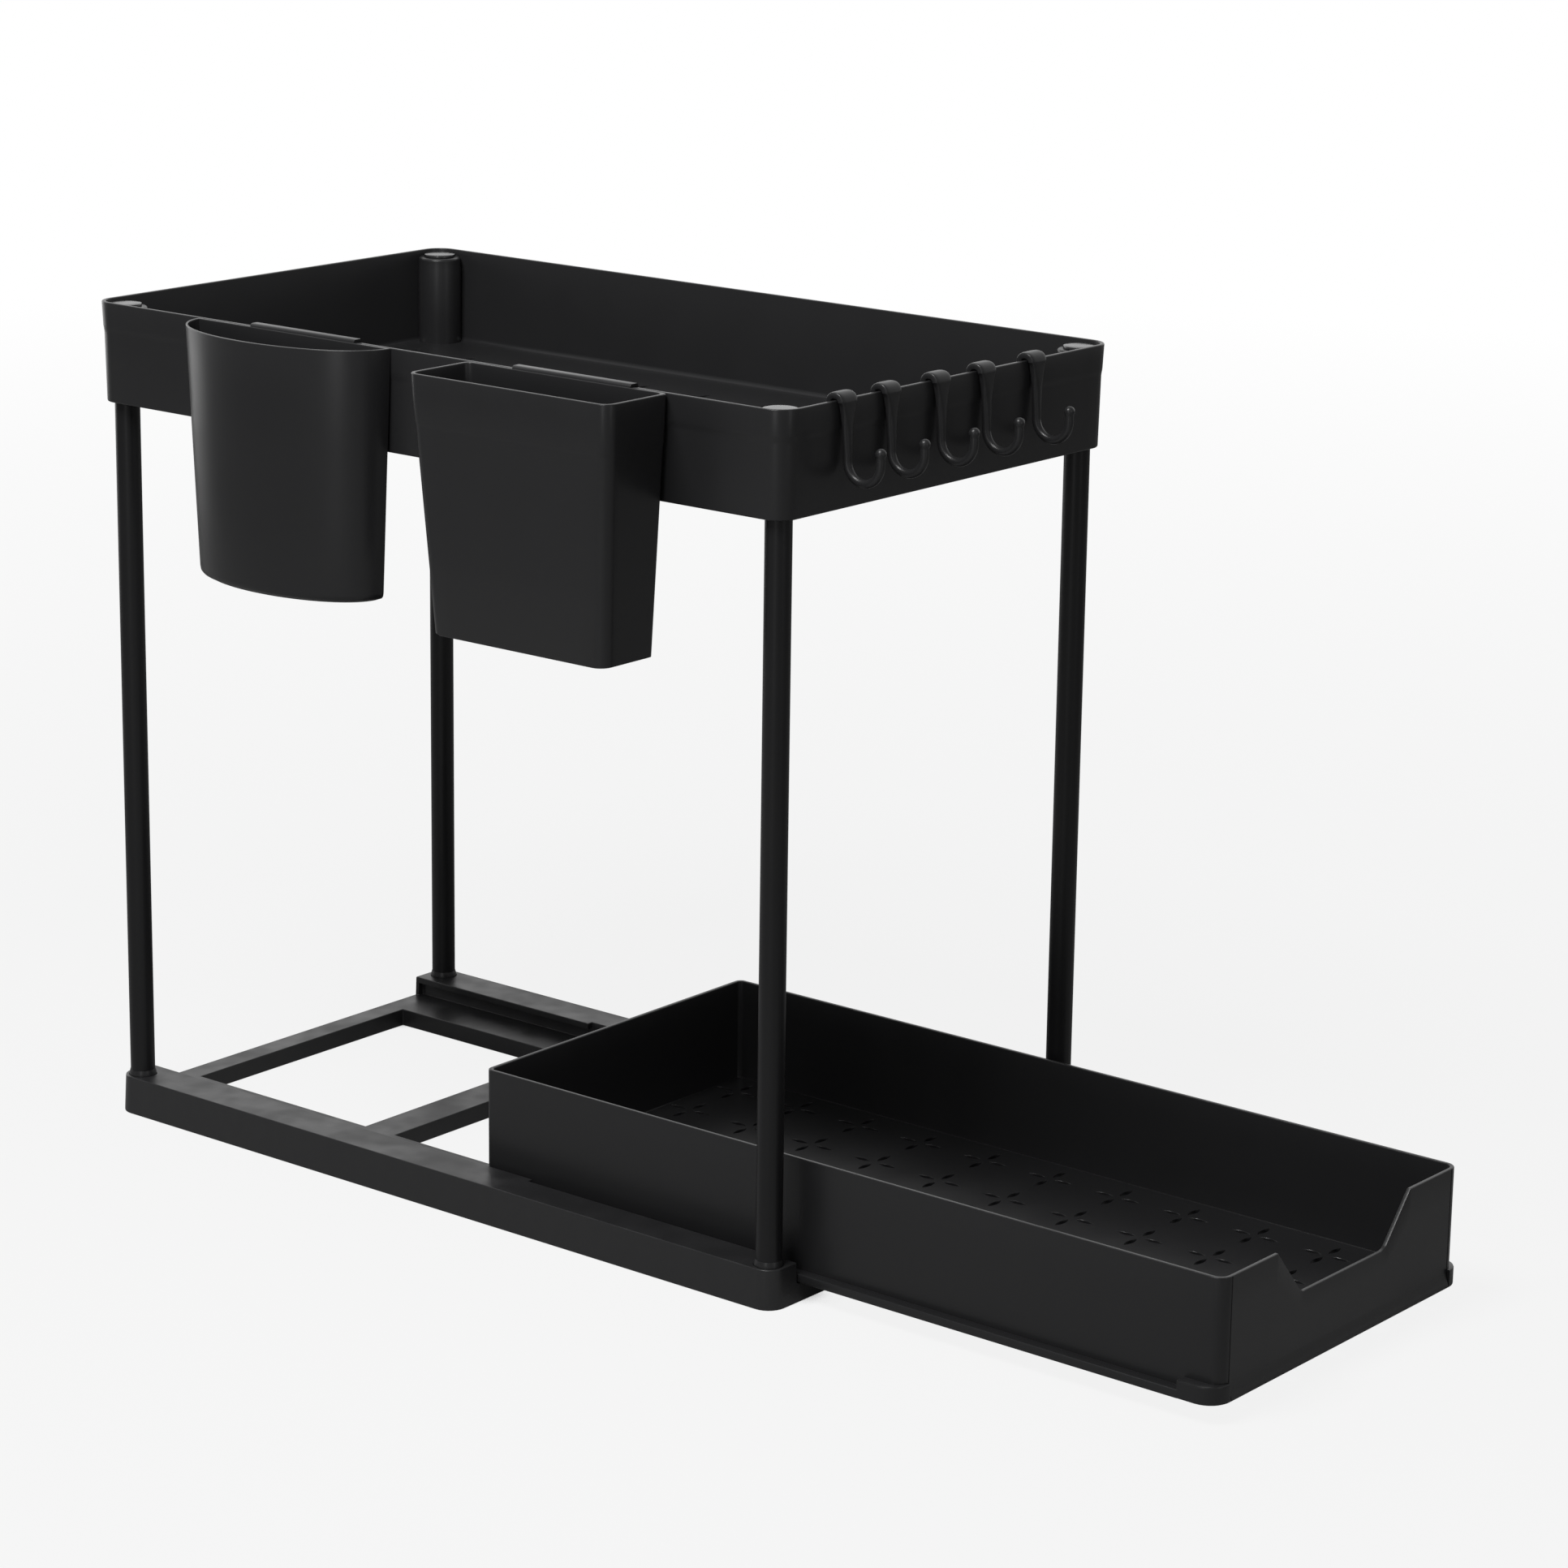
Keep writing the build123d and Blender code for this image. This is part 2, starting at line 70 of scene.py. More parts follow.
def add_object(name, data):
    """Puts an object with the given mesh, lamp or camera into the scene."""
    added = bpy.data.objects.new(name, data)
    bpy.context.scene.collection.objects.link(added)
    return added


# %% [markdown]
# ## Camera
#
# The photograph was taken with a long lens from about 2.1 m, from the drawer side and a little to the left.
# The camera's angles, distance and lens were fitted to corners and pole edges of the photograph. The small
# roll is the photographer's own. There is no lens shift, so that every other view is framed alike.

# %% Camera at the photograph's angle
camera_azimuth = math.radians(-51.15)
camera_elevation = math.radians(15.05)
camera_roll = math.radians(0.81)
camera_distance = 2.1408
camera_aim = np.array((1.5, -116.2, 201.7)) * MM
camera_lens, camera_sensor = 106.49, 36.0

forward = np.array((-math.sin(camera_azimuth) * math.cos(camera_elevation),
                    math.cos(camera_azimuth) * math.cos(camera_elevation),
                    -math.sin(camera_elevation)))
level_right = np.cross(forward, (0, 0, 1))
level_right /= np.linalg.norm(level_right)
level_up = np.cross(level_right, forward)
right = math.cos(camera_roll) * level_right + math.sin(camera_roll) * level_up
up = np.cross(right, forward)

camera_data = bpy.data.cameras.new("camera")
camera_data.lens = camera_lens
camera_data.sensor_width = camera_sensor
camera = add_object("camera", camera_data)
pose = np.eye(4)
pose[:3, 0] = right
pose[:3, 1] = up
pose[:3, 2] = -forward
pose[:3, 3] = camera_aim - camera_distance * forward
camera.matrix_world = Matrix(pose.tolist())
bpy.context.scene.camera = camera
print("camera at", np.round(pose[:3, 3], 3))

# %% [markdown]
# ## Helpers for surfaces
#
# Almost every piece here is a wall of plastic that follows a closed outline: tray, drawer, cups, caps and
# poles. So one kind of surface does most of the work. It is a grid of points. Along one direction it runs
# round the piece, along the other it runs over the section of the wall.

# %% From grids of points to a mesh
merge_distance, sliver, sharp_angle = 0.002 * MM, 0.001 * MM, math.radians(38.0)


def grid_quads(across, along, close_across, close_along, first):
    """Four corner numbers of every cell of a grid; a closed direction joins its last line to its first."""
    i = np.arange(across if close_across else across - 1)
    j = np.arange(along if close_along else along - 1)
    i, j = np.meshgrid(i, j, indexing="ij")
    i_next = (i + 1) % across
    j_next = (j + 1) % along
    corners = (i * along + j, i_next * along + j, i_next * along + j_next, i * along + j_next)
    return first + np.stack([c.ravel() for c in corners], axis=1)


def piece_from_grids(name, grids):
    """Joins grids (points, closed across, closed along, end caps) into one mesh with merged seams.

    If two open edges are left, as round a pierced floor, they are bridged by the floor's side."""
    points, faces, first = [], [], 0
    for grid, close_across, close_along, capped in grids:
        across, along = grid.shape[:2]
        points.append(grid.reshape(-1, 3))
        faces += grid_quads(across, along, close_across, close_along, first).tolist()
        if capped:
            faces.append(list(range(first + along - 1, first - 1, -1)))
            faces.append(list(range(first + (across - 1) * along, first + across * along)))
        first += across * along
    mesh = bpy.data.meshes.new(name)
    mesh.from_pydata(np.concatenate(points).tolist(), [], faces)
    work = bmesh.new()
    work.from_mesh(mesh)
    bmesh.ops.remove_doubles(work, verts=work.verts, dist=merge_distance)
    bmesh.ops.dissolve_degenerate(work, edges=work.edges, dist=sliver)
    open_edges = [edge for edge in work.edges if edge.is_boundary]
    if open_edges:
        bmesh.ops.bridge_loops(work, edges=open_edges)
    bmesh.ops.recalc_face_normals(work, faces=work.faces)
    work.to_mesh(mesh)
    work.free()
    mesh.shade_smooth()
    mesh.set_sharp_from_angle(angle=sharp_angle)
    return add_object(name, mesh)


def dress(piece, material, body, slot, *nodes):
    """Gives a piece its material and body, and hides the nodes that it stands for. The slot is not used."""
    piece.data.materials.append(material)
    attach(piece, body)
    if nodes:
        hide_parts(*nodes)
    print(piece.name, len(piece.data.polygons), "faces")


# %% Outlines and rows
corner_points, side_points, rear_points, edge_points = 9, 31, 17, 5
boss_points, turned_points, hook_points = 48, 64, 32


def full_turn(count):
    """Evenly spaced angles of a full turn, without the last one, which is the first again."""
    return np.linspace(0, 2 * math.pi, count + 1)[:-1]


def quarter_arc(x, y, radius, start, count=corner_points):
    """Quarter circle, anticlockwise: its centre plus the radius times the cosine and sine of the angle."""
    turn = start + np.linspace(0, math.pi / 2, count)
    return np.stack([x + radius * np.cos(turn), y + radius * np.sin(turn)], axis=1)


def rounded_outline(half_x, low_y, high_y, front_radius, rear_radius, front_stops):
    """Rectangle with rounded corners as a closed row of points, anticlockwise from the front left.

    The front side takes its points at the given x, so that a notch can be cut there."""
    def side(x, y_from, y_to):
        y = np.linspace(y_from, y_to, side_points)[1:-1]
        return np.stack([np.full_like(y, x), y], axis=1)

    front = np.stack([front_stops, np.full_like(front_stops, low_y)], axis=1)
    rear_x = np.linspace(half_x - rear_radius, rear_radius - half_x, rear_points)[1:-1]
    rear = np.stack([rear_x, np.full_like(rear_x, high_y)], axis=1)
    return np.concatenate([
        front,
        quarter_arc(half_x - front_radius, low_y + front_radius, front_radius, -math.pi / 2),
        side(half_x, low_y + front_radius, high_y - rear_radius),
        quarter_arc(half_x - rear_radius, high_y - rear_radius, rear_radius, 0),
        rear,
        quarter_arc(rear_radius - half_x, high_y - rear_radius, rear_radius, math.pi / 2),
        side(-half_x, high_y - rear_radius, low_y + front_radius),
        quarter_arc(front_radius - half_x, low_y + front_radius, front_radius, math.pi),
    ])


def at_height(outline, z):
    """Lifts a row of plan points to a height, which may change along the row."""
    return np.concatenate([outline, np.broadcast_to(np.reshape(z, (-1, 1)), (len(outline), 1))], axis=1)


# %% [markdown]
# ## Finishes
#
# Everything is black, in four finishes. The tray, drawer, cups and hooks are polypropylene, injection moulded
# in a tool that was spark eroded to a fine satin: near-black, with a soft sheen that turns bright where the
# eye grazes a flat top. The base is the same plastic, but thick ribs under it leave sink marks, which show as
# patches in that sheen. The caps come from a polished cavity, so their tops mirror the white surround. The
# poles are steel tube with a black baked enamel, smoother than the satin plastic.

# %% Colours and one helper for nodes
def paint(code):
    """Turns an sRGB hex code to linear colour: values over 0.04045 follow a power of 2.4."""
    value = np.array([int(code[i:i + 2], 16) for i in (1, 3, 5)]) / 255
    linear = np.where(value <= 0.04045, value / 12.92, ((value + 0.055) / 1.055) ** 2.4)
    return (*linear.tolist(), 1.0)


def add_node(tree, kind, settings=None, inputs=None, links=None):
    """Adds a shader node, sets its settings and input values, and links inputs to (node, output) pairs."""
    node = tree.nodes.new("ShaderNode" + kind)
    for key, value in (settings or {}).items():
        setattr(node, key, value)
    for key, value in (inputs or {}).items():
        node.inputs[key].default_value = value
    for key, (source, output) in (links or {}).items():
        tree.links.new(source.outputs[output], node.inputs[key])
    return node


smooth = {"interpolation_type": "SMOOTHSTEP"}


def black_finish(name, colour, ior, rough, grain_mm, sink_mm):
    """Black surface with fine grain, wide shallow sink marks and a sheen that changes a little.

    The grain and the sink marks are noise, each given by its (width, depth) in millimetres. The
    roughness runs from the low to the high value of rough as the sink marks' noise rises."""
    material = bpy.data.materials.new(name)
    material.use_nodes = True
    tree = material.node_tree
    shader = tree.nodes["Principled BSDF"]
    shader.inputs["Base Color"].default_value = paint(colour)
    shader.inputs["IOR"].default_value = ior
    place = add_node(tree, "TexCoord")
    grain = add_node(tree, "TexNoise", None,
                     {"Scale": 1 / (grain_mm[0] * MM), "Detail": 2.0, "Roughness": 0.5},
                     {"Vector": (place, "Object")})
    sink = add_node(tree, "TexNoise", None,
                    {"Scale": 1 / (sink_mm[0] * MM), "Detail": 1.5, "Roughness": 0.45},
                    {"Vector": (place, "Object")})
    spread = add_node(tree, "MapRange", smooth,
                      {"From Min": 0.2, "From Max": 0.8, "To Min": rough[0], "To Max": rough[1]},
                      {"Value": (sink, "Fac")})
    wide = add_node(tree, "Bump", None,
                    {"Strength": 1.0, "Distance": sink_mm[1] * MM}, {"Height": (sink, "Fac")})
    fine = add_node(tree, "Bump", None,
                    {"Strength": 1.0, "Distance": grain_mm[1] * MM},
                    {"Height": (grain, "Fac"), "Normal": (wide, "Normal")})
    tree.links.new(spread.outputs["Result"], shader.inputs["Roughness"])
    tree.links.new(fine.outputs["Normal"], shader.inputs["Normal"])
    return material


# %% The finishes
# Real eroded grain is about 0.1 mm wide. It is drawn about 1 mm wide, or it wouldn't show.
# Moulded polypropylene, spark-eroded satin: the eye sees near-black with a broad soft sheen.
moulded_black_pp = black_finish("moulded_black_pp", "#242425", ior=1.39, rough=(0.285, 0.34),
                                grain_mm=(1.0, 0.01), sink_mm=(26.0, 0.02))
# The base is thicker and ribbed underneath: over its ribs the plastic sank, so its tops look patchy.
sunk_black_pp = black_finish("sunk_black_pp", "#242425", ior=1.45, rough=(0.285, 0.46),
                             grain_mm=(1.4, 0.018), sink_mm=(14.0, 0.25))
# The caps come from a polished cavity: seen at a low angle their tops mirror the white surround.
glossy_black_pp = black_finish("glossy_black_pp", "#262627", ior=1.5, rough=(0.16, 0.2),
                               grain_mm=(0.8, 0.002), sink_mm=(26.0, 0.01))
# Baked black enamel on steel tube: smoother, so it shows narrow upright streaks of light.
baked_black_enamel = black_finish("baked_black_enamel", "#1a1a1b", ior=1.34, rough=(0.3, 0.36),
                                  grain_mm=(1.2, 0.006), sink_mm=(40.0, 0.02))
print("finishes:", [finish.name for finish in bpy.data.materials])

# %% [markdown]
# ## Drain flowers
#
# The floors of the tray and the drawer are pierced by flowers of four pointed petals. Cutting two hundred
# slots with booleans is slow and leaves untidy faces, so the floor is built round them. A flower's cell is
# split into four triangles, one petal in each. Every point of a petal's edge is joined to a point of its
# triangle's edge, and neighbours share those edge points, so the floor closes without a gap.

# %% A pierced floor
petal_start, petal_end, petal_width = 2.5 * MM, 12.5 * MM, 2.8 * MM
flower_pitch = np.array((36.3, 38.2)) * MM
flowers_across, flowers_along = 5, 11
petal_ease = 0.15 * MM
petals_around = 4
leg_steps = 5
petal_points = 3 * leg_steps + 1


def petal_edge(grow):
    """Pointed oval along +X: half the width times the squared sine of the way along it."""
    way = full_turn(petal_points)
    half = (petal_end - petal_start) / 2 + grow
    x = (petal_start + petal_end) / 2 - half * np.cos(way)
    y = -np.sign(np.sin(way)) * (petal_width / 2 + grow) * np.sin(way) ** 2
    return np.stack([x, y], axis=1)


def cell_edges(centre, pitch, count, low, high):
    """Lines between the cells of one direction, with the outermost at the floor's own edge."""
    lines = centre + (np.arange(count + 1) - count / 2) * pitch
    lines[0], lines[-1] = low, high
    return lines


def round_corners(plan, half_x, front_y, rear_y, front_radius, rear_radius):
    """Bends a rectangle's square corners round: near a corner, the larger of the two distances from the
    corner's centre becomes the distance itself, so squares about that centre turn into circles."""
    x, y = plan[..., 0], plan[..., 1]
    rear = y > (front_y + rear_y) / 2
    radius = np.where(rear, rear_radius, front_radius)
    away_x = np.abs(x) - (half_x - radius)
    away_y = np.where(rear, y - rear_y, front_y - y) + radius
    bend = (away_x > 0) & (away_y > 0)
    ratio = np.where(bend, np.maximum(away_x, away_y) / np.maximum(np.hypot(away_x, away_y), 1e-9), 1.0)
    new_x = np.where(bend, np.sign(x) * (half_x - radius + away_x * ratio), x)
    shift = np.where(bend, away_y * (ratio - 1), 0.0)
    return np.stack([new_x, y + np.where(rear, shift, -shift)], axis=-1)


def pierced_floor(centre_y, top_z, low_z, half_x, front_y, rear_y, front_radius, rear_radius):
    """Grids of a flat slab with rounded corners, pierced by flowers; its side is bridged afterwards.

    A point of a triangle's edge lies some way out from the flower's middle, and some way along from
    the triangle's first corner to its second: out one leg, along the far side, and back in."""
    x = cell_edges(0.0, flower_pitch[0], flowers_across, -half_x, half_x)
    y = cell_edges(centre_y, flower_pitch[1], flowers_along, front_y, rear_y)
    x0, y0 = np.meshgrid(x[:-1], y[:-1], indexing="ij")
    x1, y1 = np.meshgrid(x[1:], y[1:], indexing="ij")
    corners = np.stack([np.stack(c, axis=-1) for c in ((x1, y0), (x1, y1), (x0, y1), (x0, y0))], axis=2)
    middle_x = (np.arange(flowers_across) - (flowers_across - 1) / 2) * flower_pitch[0]
    middle_y = centre_y + (np.arange(flowers_along) - (flowers_along - 1) / 2) * flower_pitch[1]
    middle = np.stack(np.meshgrid(middle_x, middle_y, indexing="ij"), axis=-1)[:, :, None, None, :]
    steps = np.arange(leg_steps)
    out = np.concatenate([steps / leg_steps, np.ones(leg_steps + 1), 1 - steps / leg_steps])
    along = np.concatenate([np.zeros(leg_steps + 1), (steps + 1) / (leg_steps + 1), np.ones(leg_steps)])
    first = corners[:, :, :, None, :]
    second = np.roll(corners, -1, axis=2)[:, :, :, None, :]
    rim = round_corners(first + along[:, None] * (second - first),
                        half_x, front_y, rear_y, front_radius, rear_radius)
    sector = middle + out[:, None] * (rim - middle)
    turns = [np.array([[math.cos(a), -math.sin(a)], [math.sin(a), math.cos(a)]])
             for a in np.arange(petals_around) * math.pi / 2]

    def petals(grow):
        edge = petal_edge(grow)
        return middle + np.stack([edge @ turn.T for turn in turns])[None, None]

    rows = [(sector, top_z), (petals(petal_ease), top_z), (petals(0.0), top_z - petal_ease),
            (petals(0.0), low_z), (sector, low_z)]
    stack = np.stack([np.concatenate([row, np.full(row.shape[:-1] + (1,), z)], axis=-1) for row, z in rows],
                     axis=-2)
    stack = stack.reshape(-1, petal_points, len(rows), 3)
    return [(cell, True, False, False) for cell in stack]


# %% [markdown]
# ## Top tray
#
# One moulding with walls 2 mm thick that lean out a little, so that it leaves its mould. Under the rim runs
# a band that stands proud by half a millimetre. The four round bosses in its corners take the pole tops. The
# wall is one profile carried round the outline; each boss is a cylinder trimmed to stay inside the wall.

# %% Tray wall, floor and bosses
tray_low, tray_high = np.array(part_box("top_tray"))
pole_low, pole_high = np.array(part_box("pole_rear_right"))
pole_x, pole_y = (pole_low[:2] + pole_high[:2]) / 2
tray_wall, tray_floor = 2.0 * MM, 2.0 * MM
tray_floor_top = tray_low[2] + tray_floor
tray_rim_margin = tray_high[0] - pole_x
tray_foot_margin, band_foot_lean = 9.4 * MM, 0.62 * MM
band_drop, band_lead, band_end, band_proud = 11.3 * MM, 4.0 * MM, 0.4 * MM, 0.5 * MM
floor_round, foot_round, rim_round = 2.5 * MM, 0.8 * MM, 0.5 * MM
under_step, foot_width, slab_lap, hidden_dip = 0.7 * MM, 1.3 * MM, 2.1 * MM, 0.02 * MM
slab_raise = 0.05 * MM


def pole_outline(margin):
    """Outline at a distance from the rectangle of the four poles, its corners round their axes."""
    stops = np.linspace(-pole_x, pole_x, side_points)
    return rounded_outline(pole_x + margin, -pole_y - margin, pole_y + margin, margin, margin, stops)


def over_rim(wall, radius):
    """Way over a rim as (inset, drop): a quarter circle up, a flat top, and a quarter circle down."""
    turn = np.concatenate([start + np.linspace(0, math.pi / 2, edge_points) for start in (0, math.pi / 2)])
    flat = np.repeat((0.0, wall - 2 * radius), edge_points)
    return list(zip(radius * (1 - np.cos(turn)) + flat, radius * (1 - np.sin(turn))))


# The profile as (margin, height): up the outside with the band, over the rim, down inside to the floor's
# round, and under the floor back to the wall's foot. The band's start eases in as 3 s^2 - 2 s^3.
tray_profile = [*quarter_arc(tray_foot_margin - foot_round, tray_low[2] + foot_round, foot_round,
                             -math.pi / 2, edge_points)]
band_z = tray_high[2] - band_drop
for share in np.linspace(0, 1, 7):
    eased = share * share * (3 - 2 * share)
    tray_profile.append((tray_foot_margin + band_foot_lean + eased * band_proud,
                         band_z - band_lead + share * (band_lead + band_end)))
tray_profile += [(tray_rim_margin - inset, tray_high[2] - drop)
                 for inset, drop in over_rim(tray_wall, rim_round)]
floor_reach = tray_foot_margin - tray_wall - floor_round
tray_profile += [*quarter_arc(floor_reach, tray_floor_top + floor_round, floor_round,
                              -math.pi / 2, edge_points)[:0:-1]]
tray_profile += [(floor_reach, tray_floor_top - hidden_dip), (floor_reach, tray_low[2] + under_step),
                 (floor_reach + foot_width, tray_low[2] + under_step),
                 (floor_reach + foot_width, tray_low[2])]
tray_shell = np.stack([at_height(pole_outline(margin), z) for margin, z in tray_profile], axis=1)
slab_reach = floor_reach + slab_lap
tray_grids = [(tray_shell, True, True, False)]
tray_grids += pierced_floor(0.0, tray_floor_top, tray_low[2] + slab_raise, pole_x + slab_reach,
                            -pole_y - slab_reach, pole_y + slab_reach, slab_reach, slab_reach)

cap_thickness = 1.6 * MM
boss_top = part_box("pole_cap_rear_right")[1][2] - cap_thickness
boss_radius, boss_edge, boss_root = 10.75 * MM, 1.3 * MM, 1.0 * MM
boss_collar, collar_slope, neck_step = 5.0 * MM, 0.5 * MM, 0.15 * MM
boss_setback, boss_lean = 0.8 * MM, 1.6 * MM


def boss_grid(sign_x, sign_y):
    """Cylinder in a corner: a circle whose outward part is held back inside the tray's wall."""
    turn = full_turn(boss_points)
    rows = []
    neck = boss_radius - neck_step
    profile = [(0.0, tray_floor_top - boss_root), (boss_radius, tray_floor_top - boss_root),
               (boss_radius, boss_top - boss_collar - collar_slope), (neck, boss_top - boss_collar)]
    profile += [*quarter_arc(neck - boss_edge, boss_top - boss_edge, boss_edge, 0, edge_points),
                (0.0, boss_top)]
    for radius, z in profile:
        risen = (z - tray_low[2]) / (tray_high[2] - tray_low[2])
        limit = tray_foot_margin - boss_setback + risen * boss_lean
        x = np.minimum(radius * np.cos(turn), limit)
        y = np.minimum(radius * np.sin(turn), limit)
        outward = (x > 0) & (y > 0)
        reach = np.hypot(x, y)
        shrink = np.where(outward & (reach > limit), limit / np.maximum(reach, MM), 1.0)
        plan = np.stack([sign_x * (pole_x + x * shrink), sign_y * (pole_y + y * shrink)], axis=1)
        rows.append(at_height(plan, z))
    return (np.stack(rows, axis=1), True, False, False)


tray_grids += [boss_grid(sx, sy) for sx in (-1, 1) for sy in (-1, 1)]
dress(piece_from_grids("top_tray_shell", tray_grids), moulded_black_pp, "frame", "black_plastic", "top_tray")

# %% [markdown]
# ## Drawer
#
# A tub with upright walls, 2 mm thick, and a notch in its front wall for the hand. The wall is again one
# profile carried round the outline, but its top edge isn't level: the height is a function of the place
# along the front. Runners along both sides slide on the base's ledges, under its lips, and a taller skirt
# wraps the front.

# %% The notch as a height along the front
drawer_low, drawer_high = np.array(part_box("drawer"))
drawer_half, drawer_wall = 93.2 * MM, 2.0 * MM
runner_reach = drawer_high[0] - drawer_half
skirt_proud = 1.5 * MM
drawer_front, drawer_rear = drawer_low[1] + skirt_proud, drawer_high[1]
notch_top, notch_bottom, notch_depth = 52.6 * MM, 33.0 * MM, 22.8 * MM
notch_round = 6.0 * MM
notch_slope = math.atan2(notch_depth, notch_top - notch_bottom)
arc_start = notch_bottom - notch_round * math.tan(notch_slope / 2)
arc_end = arc_start + notch_round * math.sin(notch_slope)


def wall_top(x):
    """Height of the front wall: level, then a slope down into an arc, then the notch's level bottom."""
    away = np.abs(x)
    slope = drawer_high[2] - notch_depth * np.clip((notch_top - away) / (notch_top - notch_bottom), 0, 1)
    over = np.clip(away - arc_start, 0, arc_end - arc_start)
    arc = drawer_high[2] - notch_depth + notch_round - np.sqrt(notch_round ** 2 - over ** 2)
    return np.where((away > arc_start) & (away < arc_end), arc, slope)


# Places across half the front: close together at the notch's bends and at the groove, where edges show.
parting_x = drawer_half - 6.3 * MM
after_notch, groove_sides = np.array((0.0, 0.02, 0.6)) * MM, np.array((-0.4, 0.0, 0.35)) * MM
level_start, level_end = notch_top + 2.0 * MM, drawer_half - 7.5 * MM
notch_runs = [np.linspace(start, end, corner_points)[:-1]
              for start, end in ((0, arc_start), (arc_start, arc_end), (arc_end, notch_top))]
half_stops = np.concatenate(notch_runs + [notch_top + after_notch, np.linspace(level_start, level_end, 8),
                                          parting_x + groove_sides])
front_stops = np.concatenate([-half_stops[:0:-1], half_stops])

# %% Drawer wall, floor, runners and skirt
front_corner, rear_corner, rear_corner_share = 6.0 * MM, 3.6 * MM, 0.6
drawer_rim_round, drawer_floor_round = 0.5 * MM, 0.3 * MM
drawer_floor_low = drawer_low[2] + 3.5 * MM
drawer_floor_top = drawer_floor_low + 2.0 * MM
parting_depth, parting_near, same_place = 0.9 * MM, 0.1 * MM, 0.02 * MM


def drawer_outline(inset):
    """The drawer's outline drawn in by an inset; outside, a fine groove parts each corner from the front."""
    plan = rounded_outline(drawer_half - inset, drawer_front + inset, drawer_rear - inset,
                           front_corner - inset, rear_corner - rear_corner_share * inset, front_stops)
    in_groove = np.abs(np.abs(plan[:, 0]) - parting_x) < same_place
    in_groove[len(front_stops):] = False
    plan[in_groove, 1] += parting_depth if inset < parting_near else 0.0
    return plan


# The profile as (inset, height): the foot, up the outside, over the rim, down inside, and under the floor.
drawer_top = wall_top(drawer_outline(0.0)[:, 0])
drawer_top[len(front_stops):] = drawer_high[2]
hidden_z = drawer_floor_low + under_step
floor_bend_z = drawer_floor_top + drawer_floor_round
drawer_profile = [(drawer_wall, hidden_z), (drawer_wall, drawer_low[2]), (0.0, drawer_low[2])]
drawer_profile += [(0.0, drawer_low[2] + share * (drawer_top - drawer_rim_round - drawer_low[2]))
                   for share in (0.25, 0.5, 0.75)]
drawer_profile += [(inset, drawer_top - drop) for inset, drop in over_rim(drawer_wall, drawer_rim_round)]
drawer_profile += [(drawer_wall, floor_bend_z + share * (drawer_top - drawer_rim_round - floor_bend_z))
                   for share in (0.75, 0.5, 0.25)]
bend_inset = drawer_wall + drawer_floor_round
drawer_profile += [*quarter_arc(bend_inset, floor_bend_z, drawer_floor_round, math.pi, edge_points)[:-1],
                   (bend_inset, drawer_floor_top - hidden_dip), (bend_inset, hidden_z)]
drawer_shell = np.stack([at_height(drawer_outline(inset), z) for inset, z in drawer_profile], axis=1)
drawer_grids = [(drawer_shell, True, True, False)]
slab_inset = drawer_wall / 2
drawer_grids += pierced_floor((drawer_front + drawer_rear) / 2, drawer_floor_top, drawer_floor_low,
                              drawer_half - slab_inset, drawer_front + slab_inset, drawer_rear - slab_inset,
                              front_corner - slab_inset, rear_corner - slab_inset)
dress(piece_from_grids("drawer_tub", drawer_grids), moulded_black_pp, "drawer", "black_plastic", "drawer")


def rounded_bar(width, height, radius):
    """Section of a bar, its foot at the origin: four corners as quarter circles."""
    centres = ((width - radius, radius, -math.pi / 2), (width - radius, height - radius, 0.0),
               (radius, height - radius, math.pi / 2), (radius, radius, math.pi))
    return np.concatenate([quarter_arc(x, z, radius, start, 4) for x, z, start in centres])


runner_height, runner_round, tail_length, tail_draw = 4.0 * MM, 0.5 * MM, 0.4 * MM, 0.2 * MM
skirt_height, skirt_corner, skirt_ease, skirt_foot = 8.3 * MM, 11.0 * MM, 0.6 * MM, 1.5 * MM
skirt_rear = drawer_low[1] + 19.7 * MM
lean_power, lean_gap = 1.6, 0.06 * MM
into_wall = 0.8 * MM


def runner_grid(side):
    """A runner: its rounded section carried straight along the drawer's side, drawn in at the tail."""
    section = rounded_bar(runner_reach + into_wall, runner_height, runner_round)
    stations = ((skirt_rear, 0.0), (drawer_rear - tail_length, 0.0), (drawer_rear, tail_draw))
    rows = [np.stack([side * (drawer_half - into_wall + section[:, 0] - drawn), np.full(len(section), y),
                      drawer_low[2] + section[:, 1]], axis=1) for y, drawn in stations]
    return (np.stack(rows), False, True, True)


